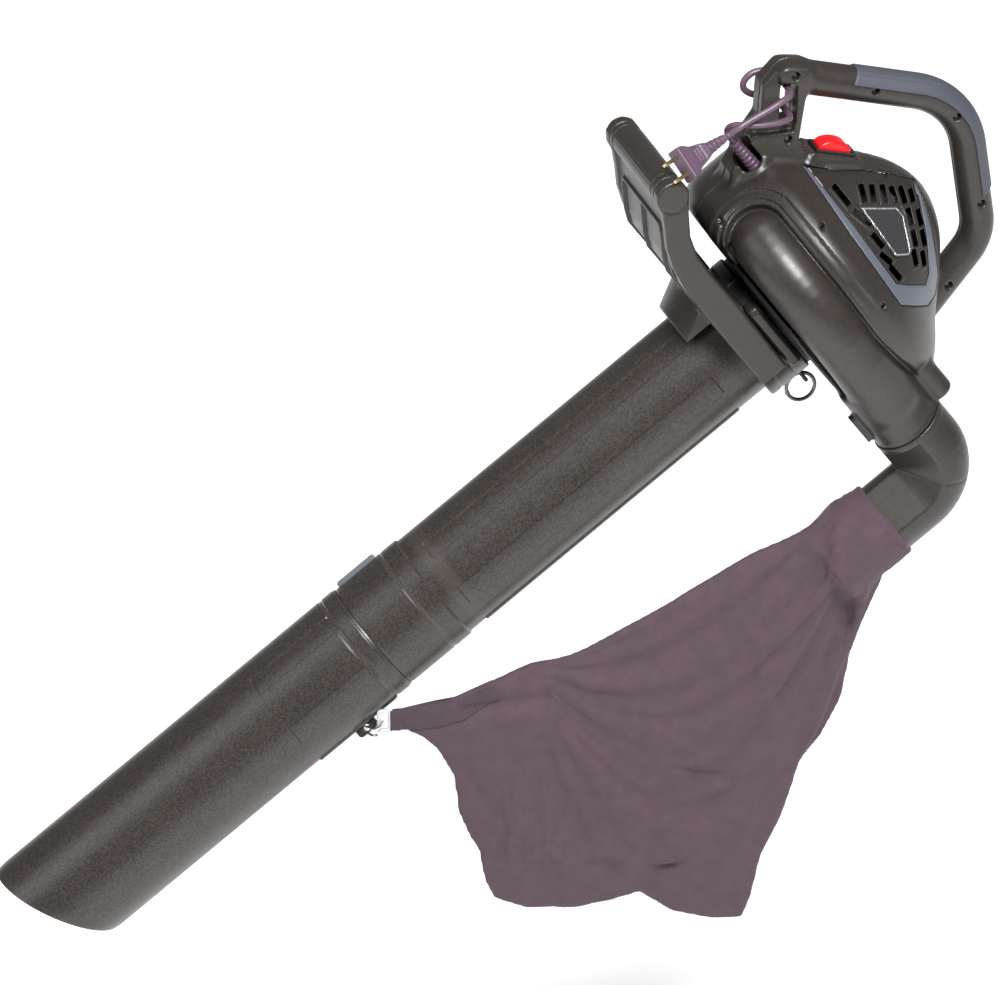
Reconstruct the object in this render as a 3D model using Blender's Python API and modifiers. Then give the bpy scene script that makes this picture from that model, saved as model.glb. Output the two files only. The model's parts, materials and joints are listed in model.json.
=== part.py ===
"""Corded garden blower and vacuum: two-piece suction tube, scroll housing, motor, elbow and bag.

The origin is the middle of the main handle's grip. +X runs forward to rear (away from the suction
mouth), +Z is up and the X-Z plane is the machine's parting plane. Lengths below are millimetres,
turned into metres by MM.
"""

import math

import bmesh
import bpy
from mathutils import Matrix, Vector

MM = 0.001
GAP = 0.3  # between pieces that touch

# Driving dimensions
TUBE_SLOPE = math.radians(36.2)  # of the suction tube, with the grip held level
INTAKE = Vector((-165, 0, -263))  # middle of the intake, from the grip
UPPER_R, SOCKET_R, LOWER_R = 58.0, 60.2, 61.5
TUBE_WALL = 3.0
MOUTH_T, MOUTH_SLANT = -870.0, 0.5  # the mouth's middle, and how far it leans per mm of height
SOCKET_T, JOINT_T, TUBE_TOP_T = -457.0, -378.0, 5.0
COLLAR_R, COLLAR_END_T = 69.0, 53.0
HOUSING_WALL = 3.0
SCROLL_SPACE = [(60.5, 0), (60.5, 123), (64, 137), (73, 143.6), (84, 146.8), (131, 146.8), (131, 0)]
DUCT_Y = -100.0  # the outlet duct's middle, on the near side
DUCT_R, DUCT_RING_R = 31.5, 122.0  # the scroll's duct, and how far out its middle runs round the drum
OUTLET_R, OUTLET_T, OUTLET_END_Z = 36.0, 91.0, -142.0
ELBOW_R, ELBOW_Z, ELBOW_END_T = 38.5, -216.0, -11.0
NECK_R, NECK_END_T = 41.0, 14.0  # the bag's neck, pulled over the elbow
GRIP_R = 17.5
PAD_THICKNESS = 1.7
YOKE_HALF_WIDTH, YOKE_BAR_T, YOKE_BAR_Z, YOKE_BAR_R = 83.0, 57.0, 220.0, 16.5
SHAFT_R = 6.0
RING_T, RING_AT, RING_R = 40.0, (-2.0, -81.0), 15.0  # where the strap ring hangs under the collar
CORD_R = 3.4
BOOT_T, BOOT_Y, BOOT_TOP_Z, BOOT_R = 137.0, -10.0, 182.0, 7.5
GRILLE_TILT = math.radians(20)  # how far each side grille faces up

PLUG_AT, PLUG_RELIEF, PLUG_THICKNESS, PIN_R = Vector((-43, -57, 245)), 28, 18, 2.0
PLUG_AXIS, PLUG_WIDTH = Vector((-0.84, -0.5, -0.12)).normalized(), Vector((0.41, -0.525, -0.745))
PLUG_HALF = [(0, 7), (10, 12), (22, 17), (34, 18), (36, 16.5)]  # its outline, one side of its middle
PLUG_END = PLUG_AT - PLUG_AXIS * (PLUG_RELIEF + GAP)
CORD_ROUTE = [  # from the boot, through the strut's window, round its front bar and back to the plug
    (2.9, -10, 228), (-2.4, -10.5, 235.2), (-5, -13, 242), (-4, -18.5, 248.5), (1, -25, 252.5), (8, -30, 253.5),
    (18, -33, 253), (31, -34, 252.8), (44, -33, 253), (54, -28, 253), (58, -18, 253), (58, 0, 253),
    (58, 18, 253), (54, 28, 253), (45, 33, 253.5), (35, 34.5, 256.5), (28, 34, 263), (28, 33.5, 271),
    (35, 33.5, 278), (45, 33, 280.5), (54, 28, 280.5), (58, 18, 280), (58, 0, 279.5), (58, -18, 279),
    (54, -28, 278), (44, -34, 275.5), (30, -37, 270), (14, -39, 264), (-2, -41, 257),
    tuple(PLUG_END - PLUG_AXIS * 7), tuple(PLUG_END),
]

SCREWS = [  # upright (x, z) places along the parting plane, and how far out from it each head sits
    (64, 294, 17), (57, 226, 17), (149, 265, 15), (236, 225, 15), (264, 126, 15), (231, 40, 15),
]

# Radius of the scroll and motor housing at each station along the tube's axis
HOUSING = [
    (57, 0), (57, 126), (62, 140), (72, 147), (84, 150), (138, 150), (150, 146), (165, 131),
    (181, 110), (205, 87), (221, 70), (236, 52), (246, 34), (252, 16), (254, 0),
]


def housing_radius(t):
    for (t0, r0), (t1, r1) in zip(HOUSING[1:], HOUSING[2:]):
        if t0 <= t <= t1:
            return r0 + (r1 - r0) * (t - t0) / (t1 - t0)
    return 0.0


# Scene, frames and materials

for old in list(bpy.data.objects):
    bpy.data.objects.remove(old)

blower = bpy.data.collections.new("garden_blower_vac")
cutters = bpy.data.collections.new("cutters")
for group in (blower, cutters):
    bpy.context.scene.collection.children.link(group)
cutters.hide_render = True


def frame(name, parent=None, at=(0, 0, 0), turn=(0, 0, 0)):
    empty = bpy.data.objects.new(name, None)
    blower.objects.link(empty)
    empty.parent = parent
    empty.location = Vector(at) * MM
    empty.rotation_euler = turn
    return empty


upright = frame("intake_datum", at=INTAKE)
machine = frame("tube_axis", upright, turn=(0, -TUBE_SLOPE, 0))
near_side = frame("near_grille_frame", machine, turn=(-GRILLE_TILT, 0, 0))
far_side = frame("far_grille_frame", machine, turn=(GRILLE_TILT, 0, 0))
SWITCH_AT, SWITCH_SLOPE = (109, 0, 201), math.radians(15)
switch_frame = frame("switch_pivot", upright, SWITCH_AT, (0, SWITCH_SLOPE, 0))
LATCH_TURN = math.radians(-31)
latch_frame = frame("latch_frame", machine, turn=(LATCH_TURN, 0, 0))


def material(name, color, roughness, metallic=0.0):
    made = bpy.data.materials.new(name)
    made.use_nodes = True
    shader = made.node_tree.nodes["Principled BSDF"]
    shader.inputs["Base Color"].default_value = (*color, 1)
    shader.inputs["Roughness"].default_value = roughness
    shader.inputs["Metallic"].default_value = metallic
    made.diffuse_color = (*color, 1)
    return made


body_plastic = material("body_plastic", (0.055, 0.048, 0.045), 0.5)
soft_grip = material("soft_grip", (0.14, 0.15, 0.17), 0.6)
switch_red = material("switch_red", (0.75, 0.01, 0.01), 0.35)
bag_fabric = material("bag_fabric", (0.09, 0.06, 0.08), 0.95)
cord_rubber = material("cord_rubber", (0.1, 0.07, 0.09), 0.6)
steel = material("steel", (0.6, 0.6, 0.62), 0.3, 1.0)
copper = material("copper", (0.7, 0.35, 0.18), 0.35, 1.0)
brass = material("brass", (0.75, 0.6, 0.3), 0.3, 1.0)
carbon = material("carbon", (0.03, 0.03, 0.03), 0.8)
label_grey = material("label_grey", (0.2, 0.2, 0.2), 0.4)


# Shape helpers: every one takes millimetres in the frame of its parent


def add(name, mesh, parent, finish=None):
    """A part when it has a finish, and otherwise a cutter."""
    obj = bpy.data.objects.new(name, mesh)
    obj.parent = parent
    if finish:
        mesh.materials.append(finish)
        blower.objects.link(obj)
    else:
        obj.hide_render = True
        obj.display_type = "WIRE"
        cutters.objects.link(obj)
    return obj


def mesh_from(bm, name):
    bmesh.ops.recalc_face_normals(bm, faces=bm.faces)
    mesh = bpy.data.meshes.new(name)
    bm.to_mesh(mesh)
    bm.free()
    mesh.shade_smooth()
    mesh.set_sharp_from_angle(angle=math.radians(32))
    return mesh


def block(name, low, high, parent, finish=None, bevel=0.0):
    low, high = Vector(low) * MM, Vector(high) * MM
    bm = bmesh.new()
    bmesh.ops.create_cube(bm, size=1)
    bmesh.ops.scale(bm, vec=high - low, verts=bm.verts)
    bmesh.ops.translate(bm, vec=(low + high) / 2, verts=bm.verts)
    if bevel:
        bmesh.ops.bevel(bm, geom=bm.edges[:], offset=bevel * MM, segments=1, affect="EDGES", profile=0.5)
    return add(name, mesh_from(bm, name), parent, finish)


def rod(name, start, end, radius, parent, finish=None, sides=24, end_radius=None):
    start, end = Vector(start) * MM, Vector(end) * MM
    bm = bmesh.new()
    bmesh.ops.create_cone(
        bm, cap_ends=True, segments=sides, radius1=radius * MM,
        radius2=(radius if end_radius is None else end_radius) * MM, depth=(end - start).length,
    )
    turn = (end - start).to_track_quat("Z", "Y").to_matrix().to_4x4()
    bmesh.ops.transform(bm, matrix=Matrix.Translation((start + end) / 2) @ turn, verts=bm.verts)
    return add(name, mesh_from(bm, name), parent, finish)


def turned(name, profile, parent, finish=None, steps=40, closed=True):
    """Profile points are (station along +X, radius). A profile that isn't closed ends on the axis."""
    area = sum(t0 * r1 - t1 * r0 for (t0, r0), (t1, r1) in zip(profile, profile[1:] + profile[:1]))
    points = profile if area > 0 else profile[::-1]
    bm = bmesh.new()
    verts = [bm.verts.new((r * MM, 0, t * MM)) for t, r in points]
    for a, b in zip(verts, verts[1:] + (verts[:1] if closed else [])):
        bm.edges.new((a, b))
    mesh = bpy.data.meshes.new(name)
    bm.to_mesh(mesh)
    bm.free()
    obj = add(name, mesh, parent, finish)
    obj.rotation_euler = (0, math.pi / 2, 0)
    screw = obj.modifiers.new("turn", "SCREW")
    screw.steps = screw.render_steps = steps
    screw.use_merge_vertices = True
    screw.merge_threshold = 0.00001
    screw.use_smooth_shade = True
    return obj


def rounded(corners, steps=4):
    """Outline whose corners are (x, z, radius): each becomes an arc of that radius."""
    points = []
    count = len(corners)
    for i, (x, z, radius) in enumerate(corners):
        here = Vector((x, z))
        back = (Vector(corners[i - 1][:2]) - here).normalized()
        ahead = (Vector(corners[(i + 1) % count][:2]) - here).normalized()
        if radius <= 0:
            points.append(here)
            continue
        half = back.angle(ahead) / 2
        reach = radius / math.tan(half)
        centre = here + (back + ahead).normalized() * (radius / math.sin(half))
        start, end = here + back * reach - centre, here + ahead * reach - centre
        sweep = start.angle_signed(end)
        for k in range(steps + 1):
            points.append(centre + Matrix.Rotation(-sweep * k / steps, 2) @ start)
    return [(p[0], p[1]) for p in points]


def plate(name, outline, y0, y1, parent, finish=None, bevel=0.0, segments=1):
    """An X-Z outline made solid from y0 to y1, with its rims bevelled."""
    bm = bmesh.new()
    verts = [bm.verts.new((x * MM, y0 * MM, z * MM)) for x, z in outline]
    face = bm.faces.new(verts)
    grown = bmesh.ops.extrude_face_region(bm, geom=[face])["geom"]
    top = [v for v in grown if isinstance(v, bmesh.types.BMVert)]
    bmesh.ops.translate(bm, vec=(0, (y1 - y0) * MM, 0), verts=top)
    if bevel:
        rims = [e for e in bm.edges if abs(e.verts[0].co.y - e.verts[1].co.y) < 1e-7]
        bmesh.ops.bevel(bm, geom=rims, offset=bevel * MM, segments=segments, affect="EDGES", profile=0.5)
    return add(name, mesh_from(bm, name), parent, finish)


def smooth_route(points, step):
    """Points about a step apart on a smooth curve through the given ones."""
    points = [Vector(p) for p in points]
    padded = [2 * points[0] - points[1], *points, 2 * points[-1] - points[-2]]
    found = []
    for p0, p1, p2, p3 in zip(padded, padded[1:], padded[2:], padded[3:]):
        count = max(1, round((p2 - p1).length / step))
        for k in range(count):
            s = k / count
            found.append(
                0.5 * (2 * p1 + (p2 - p0) * s + (2 * p0 - 5 * p1 + 4 * p2 - p3) * s * s
                       + (3 * p1 - p0 - 3 * p2 + p3) * s ** 3)
            )
    return [*found, points[-1]]


def pipe(name, points, radius, parent, finish=None, resolution=2):
    curve = bpy.data.curves.new(name, "CURVE")
    curve.dimensions = "3D"
    curve.bevel_depth = radius * MM
    curve.bevel_resolution = resolution
    curve.use_fill_caps = True
    spline = curve.splines.new("POLY")
    spline.points.add(len(points) - 1)
    for point, place in zip(spline.points, points):
        point.co = (*(Vector(place) * MM), 1)
    spline.use_smooth = True
    return add(name, curve, parent, finish)


def pipe_mesh(name, points, radius, parent, finish=None, resolution=2):
    """A pipe made a mesh, so that it can take part in a Boolean."""
    curve = pipe(name + "_curve", points, radius, parent, finish, resolution)
    bpy.context.view_layer.update()
    made = bpy.data.meshes.new_from_object(curve.evaluated_get(bpy.context.evaluated_depsgraph_get()))
    bm = bmesh.new()
    bm.from_mesh(made)
    bmesh.ops.remove_doubles(bm, verts=bm.verts, dist=1e-6)
    bpy.data.meshes.remove(made)
    bpy.data.objects.remove(curve)
    return add(name, mesh_from(bm, name), parent, finish)


def boolean(obj, others, operation):
    for other in others:
        modifier = obj.modifiers.new(other.name, "BOOLEAN")
        modifier.operation = operation
        modifier.object = other


def join(obj, *others):
    boolean(obj, others, "UNION")


def cut(obj, *others):
    boolean(obj, others, "DIFFERENCE")


def keep_inside(obj, *others):
    boolean(obj, others, "INTERSECT")


# Suction tube


def suction_tube():
    inner = LOWER_R - TUBE_WALL
    lower = turned(
        "lower_tube",
        [(-930, LOWER_R), (SOCKET_T - GAP, LOWER_R), (SOCKET_T - GAP, inner), (-930, inner)],
        machine, body_plastic,
    )
    lean = MOUTH_SLANT * 90
    mouth = [(-990, 90), (MOUTH_T - lean, 90), (MOUTH_T + lean, -90), (-990, -90)]
    cut(lower, plate("mouth_cutter", mouth, -80, 80, machine))
    # a loop under the tube that the bag's hook clips on
    loop = plate("bag_loop", rounded([(-533, -59, 0), (-533, -72, 4), (-509, -72, 4), (-509, -59, 0)]),
                 -2.5, 2.5, latch_frame)
    join(lower, loop)
    cut(lower, rod("bag_loop_hole", (-521, -9, -66.6), (-521, 9, -66.6), 3.2, latch_frame, sides=16))

    stub_r, bore = inner - GAP, UPPER_R - TUBE_WALL
    upper = turned(
        "upper_tube",
        [(TUBE_TOP_T + 20, UPPER_R), (JOINT_T, UPPER_R), (JOINT_T - 2, SOCKET_R), (SOCKET_T, SOCKET_R),
         (SOCKET_T, stub_r), (SOCKET_T - 38, stub_r), (SOCKET_T - 38, bore), (TUBE_TOP_T + 20, bore)],
        machine, body_plastic,
    )
    pocket = block("latch_pocket", (-453, -8.5, 56.6), (-405, 8.5, 70), latch_frame)
    cut(upper, pocket)
    button = block("tube_latch_button", (-452.5, -8, 58.6), (-405.5, 8, 65.2), latch_frame, body_plastic, 1.2)
    button.data.materials[0] = soft_grip
    spring = turned(
        "latch_spring", [(56.9, 2.2), (58.3, 2.2), (58.3, 3.6), (56.9, 3.6)], latch_frame, steel, 12
    )
    spring.location = Vector((-429, 0, 0)) * MM
    spring.rotation_euler = (0, 0, 0)


suction_tube()


# Front handle and intake


def front_handle():
    inner = YOKE_HALF_WIDTH - 13.5
    side = rounded([
        (5, -14, 3), (36, -14, 6), (36, 132, 40), (YOKE_BAR_T + 17, 196, 20),
        (YOKE_BAR_T + 17, YOKE_BAR_Z + 17, 16), (YOKE_BAR_T - 17, YOKE_BAR_Z + 17, 16),
        (YOKE_BAR_T - 17, YOKE_BAR_Z - 3, 8), (5, 152, 40),
    ])
    yoke = plate("front_handle_frame", side, -YOKE_HALF_WIDTH, -inner, machine, body_plastic, 1.5)
    join(yoke, plate("far_arm", side, inner, YOKE_HALF_WIDTH, machine, bevel=1.5))
    join(yoke, block("saddle", (6, -inner - 4, -12), (34, inner + 4, 66), machine))
    web = rounded([(7.4, 57, 0), (12.2, 57, 0), (12.2, 150, 40), (44, 199, 0), (38, 203, 0), (7.4, 152, 40)])
    join(yoke, plate("web_panel", web, -inner - 3, inner + 3, machine))
    lip = [(33, 192), (46, 192), (54, 205), (42, 213)]
    join(yoke, plate("web_lip", lip, -inner - 3, inner + 3, machine))
    for y in (-36, 36):
        gusset = [(-26, 50), (8, 40), (8, 82), (2, 80)]
        join(yoke, plate(f"gusset_{y}", gusset, y - 7, y + 7, machine, bevel=1.5))
    cut(yoke, rod("collar_clearance", (-60, 0, 0), (90, 0, 0), COLLAR_R + GAP, machine, sides=64))
    low, high = Vector((YOKE_BAR_T, -inner, YOKE_BAR_Z)), Vector((YOKE_BAR_T, inner, YOKE_BAR_Z))
    cut(yoke, rod("grip_clearance", low, high, YOKE_BAR_R + GAP, machine, sides=28))
    gap = Vector((0, GAP, 0))
    rod("front_handle_grip", low + gap, high - gap, YOKE_BAR_R, machine, body_plastic, 28)

    bore, seat = UPPER_R + GAP, TUBE_TOP_T + 20 + GAP
    collar = turned(
        "intake_collar",
        [(TUBE_TOP_T, COLLAR_R), (COLLAR_END_T, COLLAR_R), (COLLAR_END_T, 54), (seat, 54), (seat, bore),
         (TUBE_TOP_T, bore)],
        machine, body_plastic,
    )
    band = block("near_band", (37, -80, -24), (COLLAR_END_T - 1, -58, 60), machine, bevel=2)
    join(collar, band)
    boss = block("strap_boss", (RING_T - 2.6, -10, -90), (RING_T + 1.8, 6, -60), machine, bevel=1)
    join(collar, boss)
    foot = block("collar_foot", (8, -6, -72.5), (16, 6, -60), machine)
    join(collar, foot)
    cut(collar, rod("ring_hole", (28, *RING_AT), (52, *RING_AT), 5.6, machine, sides=16))

    bpy.ops.mesh.primitive_torus_add(
        major_radius=RING_R * MM, minor_radius=2 * MM, major_segments=24, minor_segments=6
    )
    ring = bpy.context.object
    ring.name = ring.data.name = "strap_ring"
    for owner in list(ring.users_collection):
        owner.objects.unlink(ring)
    blower.objects.link(ring)
    ring.data.materials.append(steel)
    ring.parent = machine
    # the ring hangs straight down in the tube's plane, threaded through the boss
    ring.data.transform(Matrix.Rotation(math.pi / 2, 4, "X"))
    ring.data.transform(Matrix.Translation((0, 0, -RING_R * MM)))
    ring.data.transform(Matrix.Rotation(TUBE_SLOPE, 4, "Y"))
    ring.location = Vector((RING_T, *RING_AT)) * MM


front_handle()


# Motor and fan housing


def duct_route():
    """Middle of the scroll's duct: round the housing's near side, then straight down to the outlet."""
    points = []
    for k in range(9):
        angle = math.radians(58 - 58 * k / 8)
        points.append((OUTLET_T + 5, -DUCT_RING_R * math.cos(angle), DUCT_RING_R * math.sin(angle)))
    return [*points, (OUTLET_T + 4, -120, -35), (OUTLET_T + 2, -111, -75), (OUTLET_T, DUCT_Y - 2, -120)]


def loop_route():
    """Middle of the main handle, from the strut's top round to the housing's rear."""
    corners = [(64, 288, 0), (245, 238, 78), (268, 86, 50), (196, -2, 0)]
    return [(x, 0, z) for x, z in rounded(corners, 7)]


HANDLE = loop_route()
STRUT = rounded([
    (81, 300, 4), (76, 268, 30), (69, 222, 0), (84, 200, 0), (84, 120, 0), (0, 120, 0), (-2, 196, 0),
    (18, 232, 12), (31, 250, 12), (33, 284, 8), (53, 304, 8),
])
TRIM_OUTER = [
    (174, 104), (167, 30), (161, -56), (181, -85), (194, -87), (209, -75), (219, -58), (234, -31),
    (245, -6), (250, 11),
]
TRIM_INNER = [
    (244, 5), (243, -1), (223, -35), (202, -63), (193, -68), (180, -52), (171, -38), (175, 31), (177, 96),
]


def dome_skin(name, inner, outer, finish, parent):
    """A layer of the motor housing's dome, between two heights over its surface."""
    stations = [140, 150, 165, 181, 205, 221, 236, 246]
    over = [(t + outer * 0.7, housing_radius(t) + outer * 0.7) for t in stations]
    under = [(t + inner * 0.7, housing_radius(t) + inner * 0.7) for t in reversed(stations)]
    return turned(name, over + under, parent, finish)


def grown(outline, by):
    """The same outline with every side moved out by a distance."""
    area = sum(x0 * z1 - x1 * z0 for (x0, z0), (x1, z1) in zip(outline, outline[1:] + outline[:1]))
    found = []
    for i, corner in enumerate(outline):
        here = Vector(corner)
        into = (here - Vector(outline[i - 1])).normalized()
        away = (Vector(outline[(i + 1) % len(outline)]) - here).normalized()
        normals = [Vector((d.y, -d.x)) * math.copysign(1, area) for d in (into, away)]
        middle = normals[0] + normals[1]
        found.append(tuple(here + middle * (2 * by / middle.length_squared)))
    return found


def side_cutter(name, outline, side):
    near, far = (-170, -6) if side == "near" else (6, 170)
    return plate(name, outline, near, far, near_side if side == "near" else far_side)


def side_cover(side):
    """The vent grille, the trim round it and the blank rating plate on one side of the motor."""
    area = TRIM_OUTER + [(236, 34), (216, 58), (194, 78)]
    trim_area = TRIM_OUTER + TRIM_INNER
    grille = dome_skin(f"{side}_vent_grille", -3.0, -0.2, body_plastic, machine)
    keep_inside(grille, side_cutter(f"{side}_grille_area", grown(area, -0.5), side))
    cut(grille, side_cutter(f"{side}_trim_clearance", grown(trim_area, GAP), side))
    parent = near_side if side == "near" else far_side
    near, far = (-170, -6) if side == "near" else (6, 170)
    slots = []
    for k in range(6):
        slots.append((202 + 6.6 * k, 44 - 7.4 * k, 12))
    for k in range(4):
        slots.append((183 - 2.4 * k, 30 - 19 * k, 12))
    for k in range(3):
        slots.append((222.5 - 7.5 * k, -6 - 16 * k, 12))
        slots.append((229 - 7.5 * k, -15 - 15.5 * k, 12))
    for k, (t, w, length) in enumerate(slots):
        slot = block(f"{side}_slot_{k}", (-2, near, -length / 2), (2, far, length / 2), parent)
        slot.location = Vector((t, 0, w)) * MM
        slot.rotation_euler = (0, math.radians(38), 0)
        cut(grille, slot)
    trim = dome_skin(f"{side}_trim", -3.0, 1.2, soft_grip, machine)
    keep_inside(trim, side_cutter(f"{side}_trim_area", trim_area, side))
    rating = [(192, 38), (219, 12), (219, 1), (203, -28), (199, -30), (189, -19)]
    badge = dome_skin(f"{side}_rating_plate", 0.2, 1.2, label_grey, machine)
    keep_inside(badge, side_cutter(f"{side}_rating_area", rating, side))
    return side_cutter(f"{side}_cover_opening", grown(area, 0.6), side)


def housing_half(name, side, openings):
    """One clamshell half: scroll, motor dome, strut and half of the main handle."""
    shell = turned(name, HOUSING, machine, body_plastic, 48, closed=False)
    join(shell, shapes["strut"], shapes["loop"])
    if side == "near":
        join(shell, shapes["duct"], shapes["duct_end"], shapes["outlet"], shapes["lug"], shapes["rim_boss"])
    cut(shell, shapes["scroll_space"], shapes["motor_space"], shapes["front_hole"], shapes["shaft_hole"])
    if side == "near":
        cut(shell, shapes["duct_space"], shapes["outlet_space"], shapes["lug_hole"])
    join(shell, shapes["boot_boss"])
    cut(shell, shapes["boot_pocket"], shapes["loop_space"], shapes["window"], shapes["switch_opening"])
    cut(shell, *openings)
    join(shell, *shapes["screw_bosses"])
    if side == "near":
        cut(shell, *shapes["screw_pockets"])
    cut(shell, shapes[side + "_half"])
    return shell


def housing():
    shapes["strut"] = plate("strut", STRUT, -19, 19, upright, bevel=4, segments=2)
    shapes["loop"] = pipe_mesh("loop", HANDLE, GRIP_R, upright, resolution=3)
    route = duct_route()
    shapes["duct"] = pipe_mesh("duct", route, DUCT_R, machine, resolution=4)
    bm = bmesh.new()
    bmesh.ops.create_uvsphere(bm, u_segments=16, v_segments=8, radius=DUCT_R * MM)
    bmesh.ops.translate(bm, vec=Vector(route[0]) * MM, verts=bm.verts)
    shapes["duct_end"] = add("duct_end", mesh_from(bm, "duct_end"), machine)
    top, low = (OUTLET_T, DUCT_Y, -55), (OUTLET_T, DUCT_Y, OUTLET_END_Z)
    shapes["outlet"] = rod("outlet", top, low, OUTLET_R, machine, sides=40)
    lug = rounded([(36, -96, 9), (36, -130, 10), (66, -130, 0), (66, -96, 0)])
    shapes["lug"] = plate("lug", lug, DUCT_Y - 8, DUCT_Y + 4, machine, bevel=1.5)
    shapes["lug_hole"] = rod("lug_hole", (46, -140, -121), (46, -60, -121), 2.6, machine, sides=12)
    shapes["rim_boss"] = rod("rim_boss", (136, DUCT_Y, -100), (136, DUCT_Y, -141), 14, machine, sides=20)
    shapes["scroll_space"] = turned("scroll_space", SCROLL_SPACE, machine, steps=48, closed=False)
    dome = [(137, 0), (137, 143), (149, 142)]
    dome += [(t - 3, housing_radius(t) - 3) for t in (165, 181, 205, 221, 236, 246)]
    shapes["motor_space"] = turned("motor_space", [*dome, (243, 0)], machine, steps=40, closed=False)
    shapes["front_hole"] = rod("front_hole", (40, 0, 0), (80, 0, 0), 105, machine, sides=56)
    shapes["shaft_hole"] = rod("shaft_hole", (120, 0, 0), (150, 0, 0), 60, machine, sides=40)
    shapes["duct_space"] = pipe_mesh("duct_space", route, DUCT_R - HOUSING_WALL, machine, resolution=4)
    shapes["outlet_space"] = rod("outlet_space", (OUTLET_T, DUCT_Y, -70), (OUTLET_T, DUCT_Y, -150), 32,
                                 machine, sides=32)
    boss_low, boss_top = (BOOT_T, BOOT_Y, 131), (BOOT_T, BOOT_Y, 151)
    shapes["boot_boss"] = rod("boot_boss", boss_low, boss_top, 18, machine, sides=28)
    pocket_low, pocket_top = (BOOT_T, BOOT_Y, 137), (BOOT_T, BOOT_Y, 190)
    shapes["boot_pocket"] = rod("boot_pocket", pocket_low, pocket_top, 14, machine, sides=28)
    shapes["loop_space"] = pipe_mesh("loop_space", HANDLE[1:], GRIP_R - HOUSING_WALL, upright, resolution=2)
    window = rounded([(49, 236, 4), (66, 236, 4), (66, 286, 4), (49, 286, 4)], 3)
    shapes["window"] = plate("window", window, -40, 40, upright)
    shapes["switch_opening"] = block("switch_opening", (-21.3, -14.3, -30), (21.3, 14.3, 30), switch_frame)
    shapes["near_half"] = block("far_side_removed", (-400, -GAP / 2, -400), (400, 400, 400), upright)
    shapes["far_half"] = block("near_side_removed", (-400, -400, -400), (400, GAP / 2, 400), upright)
    shapes["screw_pockets"] = [
        rod(f"screw_pocket_{k}", (x, -30, z), (x, -out + 5.5, z), 3.9, upright, sides=12)
        for k, (x, z, out) in enumerate(SCREWS)
    ]
    shapes["screw_bosses"] = [
        rod(f"screw_boss_{k}", (x, -15.4, z), (x, 15.4, z), 6, upright, sides=12)
        for k, (x, z, out) in enumerate(SCREWS[2:])
    ]
    openings = [side_cover("near"), side_cover("far")]
    housing_half("near_housing_half", "near", openings)
    housing_half("far_housing_half", "far", openings)
    for k, (x, z, out) in enumerate(SCREWS):
        rod(f"housing_screw_{k + 1}", (x, -out + 2.6, z), (x, -out + 5.2, z), 3.5, upright, steel, 12)


shapes = {}
housing()


def fan_and_motor():
    turned("fan_cover", [(57.3, 104.7), (61.2, 104.7), (61.2, 56), (COLLAR_END_T + GAP, 56),
                         (COLLAR_END_T + GAP, 66), (57.3, 66)], machine, body_plastic)
    impeller = turned("impeller", [(118, 112), (122, 112), (122, SHAFT_R + GAP), (96, SHAFT_R + GAP),
                                   (96, 19), (118, 24)], machine, body_plastic, 32)
    for k in range(8):
        blade = block(f"blade_{k}", (72, -1.5, 21), (119, 1.5, 110), machine)
        blade.rotation_euler = (k * math.pi / 4, 0, 0)
        join(impeller, blade)
    eye = turned("impeller_eye", [(60, 0), (60, 70), (95, 21), (95, 0)], machine, steps=24, closed=False)
    cut(impeller, eye)
    nut = rod("impeller_nut", (88, 0, 0), (96 - GAP, 0, 0), 10, machine, steel, 6)
    cut(nut, rod("nut_bore", (70, 0, 0), (110, 0, 0), SHAFT_R + GAP, machine, sides=24))
    rod("rotor_shaft", (82, 0, 0), (226, 0, 0), SHAFT_R, machine, steel, 24)
    bore = SHAFT_R + GAP
    rings = [  # name, station from and to, outer and inner radius, finish, sides
        ("bearing_plate", 131.6, 136.7, 59.6, 16.3, steel, 32),
        ("front_bearing", 129, 137, 16, bore, steel, 24),
        ("armature_core", 150, 190, 25, bore, steel, 24),
        ("commutator", 198, 211, 14, bore, copper, 24),
        ("stator_core", 148, 192, 44, 27, steel, 32),
        ("front_field_winding", 139.5, 147.7, 42, 29, copper, 24),
        ("rear_field_winding", 192.3, 199.4, 42, 29, copper, 24),
        ("rear_bearing", 216, 224, 13, bore, steel, 24),
    ]
    for name, start, end, outer, inner, finish, sides in rings:
        turned(name, [(start, inner), (start, outer), (end, outer), (end, inner)], machine, finish, sides)
    turned("motor_frame", [(137, 44.3), (137, 52), (141, 52), (141, 48), (224, 48), (224, 13.3), (220, 13.3),
                           (220, 44.3)], machine, steel, 32)
    for side, sign in (("near", -1), ("far", 1)):
        for name, reach, width, finish in (("brush", (14.4, 23.7), 3, carbon),
                                           ("brush_holder", (24, 43), 5, brass)):
            low, high = sorted((sign * reach[0], sign * reach[1]))
            block(f"{side}_{name}", (205 - width, low, -width), (205 + width, high, width), machine, finish)


def switch():
    bezel = block("switch_bezel", (-21, -14, -4), (21, 14, 3), switch_frame, body_plastic, 0.8)
    cut(bezel, block("bezel_hole", (-18.6, -11.6, -20), (18.6, 11.6, 20), switch_frame))
    block("switch_body", (-17.5, -10.5, -21), (17.5, 10.5, -9), switch_frame, carbon)
    cap = [(17.6, -3)] + [
        (17.6 * math.cos(math.radians(a)), 2 + 9.5 * math.sin(math.radians(a))) for a in range(0, 181, 15)
    ] + [(-17.6, -3)]
    plate("power_switch", cap, -10.6, 10.6, switch_frame, switch_red, 1.5, 2)


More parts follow.
